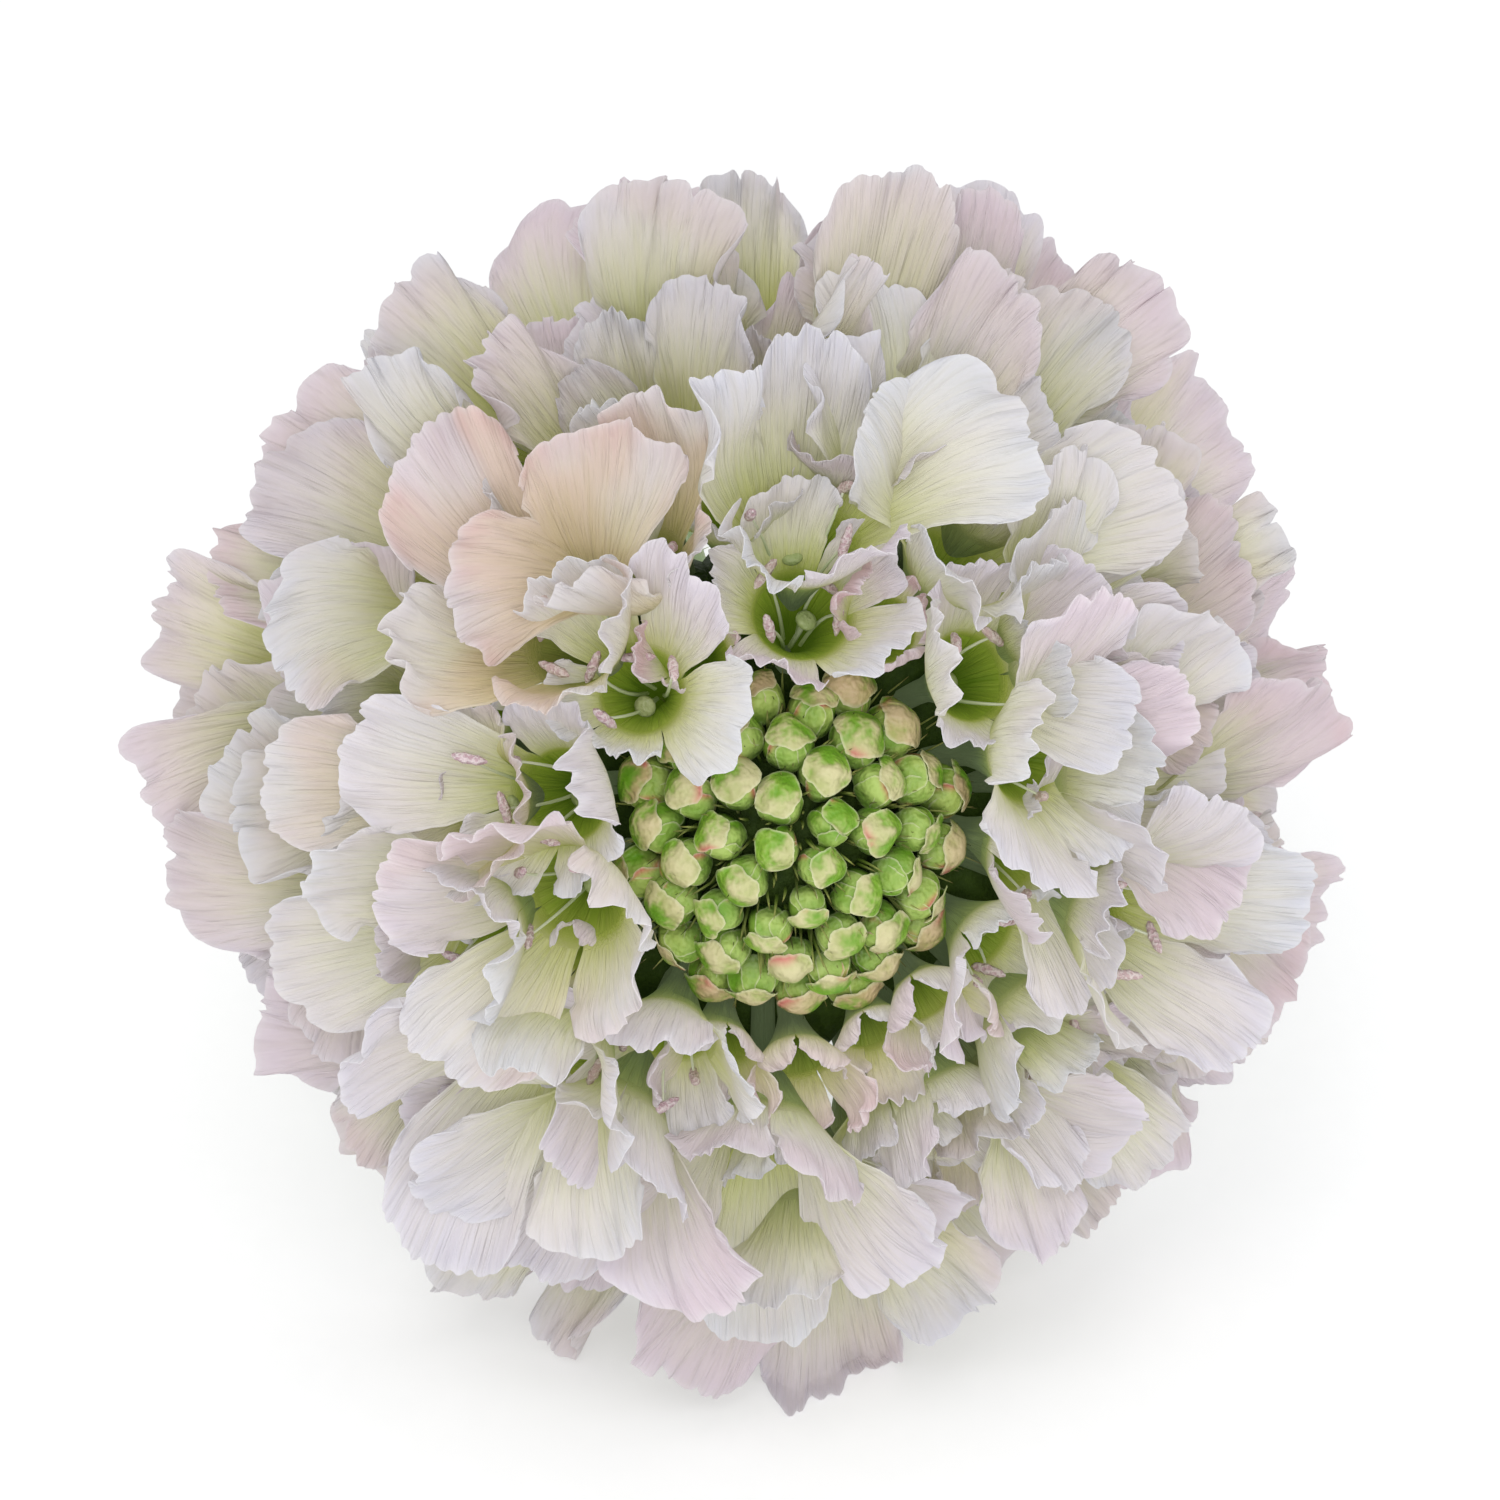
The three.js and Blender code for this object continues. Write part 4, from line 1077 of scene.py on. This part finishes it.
def petal_paint():
    p = Paint("petal")
    along, across, seed = p.number("along"), p.number("across"), p.number("seed")
    streaks = p.noise(p.place(p.times(across, 5.0), p.times(along, 1.6), seed), 2.4, 2.0, 0.6)
    veins = p.noise(p.place(p.times(across, 16.0), p.times(along, 1.3), seed), 2.0, 1.0)
    clouds = p.noise(p.here(), 130.0, 1.0)
    level = p.math("ADD", along, p.swing(streaks, 0.22))
    level = p.math("ADD", level, p.swing(clouds, 0.2))
    level = p.math("ADD", level, p.between(p.number("blush"), 0.0, 1.0, -0.09, 0.05))
    base = p.stops(level, (0.0, (0.15, 0.28, 0.012)), (0.12, (0.36, 0.52, 0.04)),
                   (0.24, (0.62, 0.73, 0.12)), (0.38, (0.81, 0.84, 0.34)),
                   (0.56, (0.89, 0.88, 0.62)), (0.78, (0.895, 0.885, 0.83)),
                   (1.0, (0.83, 0.86, 0.94)))
    peach = p.stops(level, (0.0, (0.22, 0.28, 0.04)), (0.2, (0.52, 0.46, 0.15)),
                    (0.5, (0.82, 0.62, 0.36)), (0.85, (0.88, 0.66, 0.50)), (1.0, (0.85, 0.50, 0.38)))
    patch = p.between(clouds, 0.62, 0.38)
    colour = p.mix(p.times(p.number("peach"), p.between(patch, 0, 1, 0.3, 1.0)), base, peach)
    outer = p.between(level, 0.45, 0.95)
    rosy = p.times(p.times(p.number("rose"), outer), p.between(patch, 0, 1, 0.35, 1.0))
    colour = p.mix(p.math("MINIMUM", rosy, 0.85), colour, (0.88, 0.60, 0.64))
    blush = p.times(p.between(p.number("blush"), 0.3, 1.0), outer)
    colour = p.mix(p.times(blush, p.between(patch, 0, 1, 0.65, 0.2)), colour, (0.90, 0.71, 0.77))
    lines = p.between(veins, 0.5, 0.74, 0.0, 0.12)
    colour = p.mix(lines, colour, (0.62, 0.60, 0.42), "MULTIPLY")
    colour = p.mix(p.times(p.number("outside"), 0.22), colour, (0.84, 0.84, 0.82))
    # Painted highlight: the thin rims are lightened towards white, as if catching the light.
    colour = p.mix(p.times(p.number("edge"), 0.35), colour, (0.95, 0.94, 0.94))
    # Painted shade: each lobe darkens towards its foot in the throat, where the petals shade each
    # other.
    colour = p.mix(1.0, colour, p.between(along, 0.1, 0.75, 0.78, 1.0), "MULTIPLY")
    normal = p.bump(veins, 0.5, 0.00025)
    normal = p.bump(streaks, 0.45, 0.0005, normal)
    # Painted light: the petals glow by emission in their own colour, most on the inner rings.
    p.glow(colour, p.times(p.number("lit"), PETAL_PAINTED_GLOW))
    return p.finish(colour, normal, p.between(streaks, 0.3, 0.7, 0.5, 0.68), 0.35, 0.45)


def bud_paint():
    p = Paint("bud")
    up, shade = p.number("up"), p.number("shade")
    mottle = p.noise(p.here(), 900.0, 3.0)
    top = p.mix(mottle, (0.14, 0.33, 0.015), (0.27, 0.50, 0.05))
    top = p.mix(p.times(shade, 0.35), top, (0.32, 0.40, 0.07))
    # Painted shade: each bud darkens to near black-green towards its foot, where the buds crowd and
    # shade each other.
    colour = p.mix(p.between(up, -0.2, 0.7), (0.014, 0.04, 0.003), top)
    normal = p.bump(mottle, 0.35, 0.0002)
    return p.finish(colour, normal, 0.42, 0.45)


def cap_paint():
    p = Paint("bud_cap")
    mottle = p.noise(p.here(), 620.0, 3.0, 0.6)
    grain = p.noise(p.here(), 3200.0, 2.0)
    mottle = p.between(mottle, 0.3, 0.7)
    green = p.mix(mottle, (0.13, 0.34, 0.01), (0.34, 0.56, 0.06))
    pale = p.mix(mottle, (0.42, 0.46, 0.13), (0.72, 0.62, 0.36))
    tan = p.mix(mottle, (0.44, 0.34, 0.12), (0.68, 0.43, 0.26))
    pale = p.mix(p.between(p.number("age"), 0.45, 1.0, 0.0, 0.75), pale, tan)
    side = p.math("ADD", p.number("inward"), p.swing(mottle, 1.3))
    share = p.times(p.between(side, -0.6, 0.25), p.number("beige"))
    colour = p.mix(share, green, pale)
    spots = p.times(p.number("spot"), p.between(mottle, 0.2, 0.7))
    colour = p.mix(p.times(spots, 0.85), colour, (0.60, 0.07, 0.10))
    colour = p.mix(p.times(p.number("edge"), 0.6), colour, (0.74, 0.74, 0.44))
    # Painted shade: the folded lobes darken towards the bud's foot, as the bud bodies do.
    colour = p.mix(p.between(p.number("up"), -0.2, 0.68, 0.94, 0.0), colour, (0.03, 0.075, 0.006))
    normal = p.bump(grain, 0.4, 0.00012, p.bump(mottle, 0.6, 0.0004))
    return p.finish(colour, normal, p.between(grain, 0.3, 0.7, 0.42, 0.6), 0.4)


def awn_paint():
    p = Paint("bristle")
    colour = p.stops(p.number("along"), (0.0, (0.03, 0.07, 0.005)), (0.35, (0.16, 0.25, 0.03)),
                     (0.75, (0.42, 0.46, 0.12)), (1.0, (0.16, 0.12, 0.03)))
    dark = p.between(p.number("shade"), 0.45, 0.9)
    colour = p.mix(p.times(dark, 0.85), colour, (0.03, 0.045, 0.008))
    normal = p.bump(p.noise(p.here(), 4000.0, 2.0), 0.3, 0.0001)
    return p.finish(colour, normal, 0.5, 0.4)


def mottled_paint(name, scale, detail, low, high, relief, roughness, specular, *over):
    """A mottled skin. over has numbers that the mesh carries, each with a share and a colour."""
    p = Paint(name)
    mottle = p.noise(p.here(), scale, detail)
    colour = p.mix(mottle, low, high)
    for number, share, tint in over:
        colour = p.mix(p.times(p.number(number), share), colour, tint)
    return p.finish(colour, p.bump(mottle, *relief), roughness, specular)


def cup_paint():
    return mottled_paint("calyx_cup", 1100.0, 3.0, (0.10, 0.21, 0.02), (0.26, 0.40, 0.08),
                         (0.4, 0.0002), 0.55, 0.35, ("rib", 0.4, (0.40, 0.50, 0.16)))


def dark_paint():
    return mottled_paint("receptacle", 1400.0, 3.0, (0.012, 0.028, 0.004), (0.06, 0.11, 0.012),
                         (0.8, 0.0005), 0.75, 0.2)


def stigma_paint():
    return mottled_paint("stigma", 4200.0, 3.0, (0.26, 0.37, 0.10), (0.50, 0.58, 0.26),
                         (0.6, 0.0002), 0.4, 0.5, ("shade", 0.4, (0.44, 0.36, 0.20)))


def green_paint():
    return mottled_paint("involucre_cup", 800.0, 4.0, (0.09, 0.18, 0.025), (0.22, 0.34, 0.08),
                         (0.6, 0.0004), 0.6, 0.3)


def anther_paint():
    p = Paint("anther")
    grain = p.noise(p.here(), 5200.0, 2.0)
    colour = p.mix(p.between(grain, 0.4, 0.6), (0.62, 0.40, 0.46), (0.86, 0.72, 0.74))
    colour = p.mix(p.times(p.number("shade"), 0.35), colour, (0.72, 0.62, 0.42))
    return p.finish(colour, p.bump(grain, 0.9, 0.00025), 0.7, 0.2)


def filament_paint():
    p = Paint("filament")
    colour = p.stops(p.number("along"), (0.0, (0.40, 0.52, 0.14)), (1.0, (0.80, 0.84, 0.66)))
    grain = p.noise(p.here(), 3000.0, 2.0)
    colour = p.mix(p.times(grain, 0.3), colour, (0.66, 0.72, 0.40))
    return p.finish(colour, p.bump(grain, 0.2, 0.0001), 0.45, 0.4)


def bract_paint():
    p = Paint("bract")
    along, across, seed = p.number("along"), p.number("across"), p.number("seed")
    veins = p.noise(p.place(p.times(across, 9.0), p.times(along, 2.5), seed), 2.2, 3.0)
    mottle = p.noise(p.here(), 500.0, 3.0)
    colour = p.mix(mottle, (0.07, 0.15, 0.02), (0.16, 0.28, 0.05))
    colour = p.mix(p.between(veins, 0.45, 0.7, 0.0, 0.45), colour, (0.28, 0.38, 0.12))
    rib = p.between(p.math("ABSOLUTE", across), 0.0, 0.14, 1.0, 0.0)
    colour = p.mix(p.times(rib, 0.5), colour, (0.34, 0.44, 0.16))
    colour = p.mix(p.between(along, 0.85, 1.0, 0.0, 0.5), colour, (0.24, 0.16, 0.06))
    normal = p.bump(mottle, 0.3, 0.0003, p.bump(veins, 0.6, 0.0004))
    return p.finish(colour, normal, 0.58, 0.35, 0.12)


def stem_paint():
    p = Paint("stem")
    along, around = p.number("along"), p.number("around")
    lines = p.noise(p.place(p.times(around, 4.0), p.times(along, 6.0)), 2.0, 3.0)
    mottle = p.noise(p.here(), 420.0, 3.0)
    colour = p.mix(lines, (0.12, 0.23, 0.04), (0.24, 0.36, 0.10))
    colour = p.mix(p.between(mottle, 0.5, 0.75, 0.0, 0.5), colour, (0.26, 0.26, 0.09))
    colour = p.mix(p.between(along, 0.0, 0.25, 0.35, 0.0), colour, (0.34, 0.42, 0.17))
    colour = p.mix(p.number("cut"), colour, (0.62, 0.66, 0.40))
    normal = p.bump(mottle, 0.3, 0.0003, p.bump(lines, 0.5, 0.0003))
    return p.finish(colour, normal, 0.5, 0.4)


def hair_paint():
    p = Paint("stem_hair")
    colour = p.mix(p.number("shade"), (0.42, 0.50, 0.26), (0.74, 0.76, 0.62))
    grain = p.noise(p.here(), 5000.0, 1.0)
    return p.finish(colour, p.bump(grain, 0.2, 0.0001), 0.6, 0.3, 0.2)


def floor_paint():
    p = Paint("floor")
    grain = p.noise(p.here(), 900.0, 0.0)
    colour = p.mix(grain, (0.88, 0.88, 0.88), (0.91, 0.91, 0.91))
    p.put(p.shader.inputs["Emission Color"], (1.0, 1.0, 1.0))
    p.put(p.shader.inputs["Emission Strength"], FLOOR_GLOW)
    return p.finish(colour, None, 0.8, 0.15)


# ---- Making the pieces ----

def make_flower():
    petals, organs, feet = make_florets()
    paint = petal_paint()
    for piece in petals:
        piece.make(paint, "petals", "florets")
    organs[0].make(filament_paint(), "petals", "florets")
    organs[1].make(anther_paint(), "petals", "florets")
    organs[2].make(stigma_paint(), "petals", "florets")
    awns = awn_paint()
    feet[0].make(cup_paint(), "bract_green", "florets")
    feet[1].make(awns, "bract_green", "florets")
    bodies, caps, bud_awns = make_buds()
    bodies.make(bud_paint(), "bud_green", "buds")
    caps.make(cap_paint(), "bud_green", "buds")
    bud_awns.make(awns, "bract_green", "buds")
    make_receptacle().make(dark_paint(), "bract_green", "florets", "buds")
    cup, leaves = make_involucre()
    cup.make(green_paint(), "bract_green", "involucre")
    leaves.make(bract_paint(), "bract_green", "involucre")
    stem, hairs = make_stem()
    stem.make(stem_paint(), "stem_green", "stem")
    hairs.make(hair_paint(), "stem_green", "stem")


# ---- Stage, camera and light ----

CAMERA_AZIMUTH = -8.0
CAMERA_ELEVATION = 34.0
CAMERA_DISTANCE = 355.0
FRAME_WIDTH = 71.0
AIM_SHIFT = (-1.5, 3.3)
HEAD_CENTRE_DEPTH = 2.0
FLOOR_GLOW = 0.3
SKY_COLOUR = (0.97, 0.985, 1.0)
SKY_STRENGTH = 0.7
VIEW_GAMMA = 1.12


def direction(azimuth, elevation):
    a, e = math.radians(azimuth), math.radians(elevation)
    return Vector((math.sin(a) * math.cos(e), -math.cos(a) * math.cos(e), math.sin(e)))


def aimed(thing, name, at, target):
    """Puts a light or camera at a place, facing a target. Places are in millimetres."""
    made = bpy.data.objects.new(name, thing)
    bpy.context.scene.collection.objects.link(made)
    made.location = at * MM
    made.rotation_mode = "QUATERNION"
    made.rotation_quaternion = (target - at).to_track_quat("-Z", "Y")
    return made


def make_stage():
    size = 1500 * MM
    mesh = bpy.data.meshes.new("floor")
    mesh.from_pydata([(-size, -size, 0), (size, -size, 0), (size, size, 0), (-size, size, 0)], [],
                     [(0, 1, 2, 3)])
    mesh.materials.append(floor_paint())
    floor = bpy.data.objects.new("floor", mesh)
    bpy.context.scene.collection.objects.link(floor)


def make_camera():
    back = direction(CAMERA_AZIMUTH, CAMERA_ELEVATION)
    right = Vector((math.cos(math.radians(CAMERA_AZIMUTH)), math.sin(math.radians(CAMERA_AZIMUTH)), 0))
    above = back.cross(right)
    face = Vector((0, -math.cos(FACE_UP), math.sin(FACE_UP)))
    aim = Vector(HEAD) + face * HEAD_CENTRE_DEPTH + right * AIM_SHIFT[0] + above * AIM_SHIFT[1]
    lens = bpy.data.cameras.new("camera")
    lens.sensor_width = 36
    lens.lens = lens.sensor_width * CAMERA_DISTANCE / FRAME_WIDTH
    lens.clip_start, lens.clip_end = 0.01, 10
    bpy.context.scene.camera = aimed(lens, "camera", aim + back * CAMERA_DISTANCE, aim)


def make_light(name, azimuth, elevation, distance, size, power, colour):
    light = bpy.data.lights.new(name, "AREA")
    light.shape, light.size, light.energy, light.color = "DISK", size * MM, power, colour
    target = Vector(HEAD)
    aimed(light, name, target + direction(azimuth, elevation) * distance, target)


def make_world():
    world = bpy.data.worlds.new("studio")
    bpy.context.scene.world = world
    world.use_nodes = True
    sky = world.node_tree.nodes["Background"]
    sky.inputs["Color"].default_value = (*SKY_COLOUR, 1)
    sky.inputs["Strength"].default_value = SKY_STRENGTH


def limit_bounces():
    """Light passes on between the petals only a few times, so a render stays short."""
    bpy.context.scene.cycles.max_bounces = 2


make_camera()
make_flower()
make_stage()
make_light("key", -28, 58, 800, 420, 1.05, (1.0, 0.99, 0.975))
make_light("fill", 45, 40, 800, 700, 0.35, (1.0, 1.0, 1.0))
make_light("front", -8, 27, 900, 360, 1.6, (1.0, 0.995, 0.99))
make_world()
limit_bounces()
bpy.context.scene.view_settings.view_transform = "Standard"
bpy.context.scene.view_settings.gamma = VIEW_GAMMA
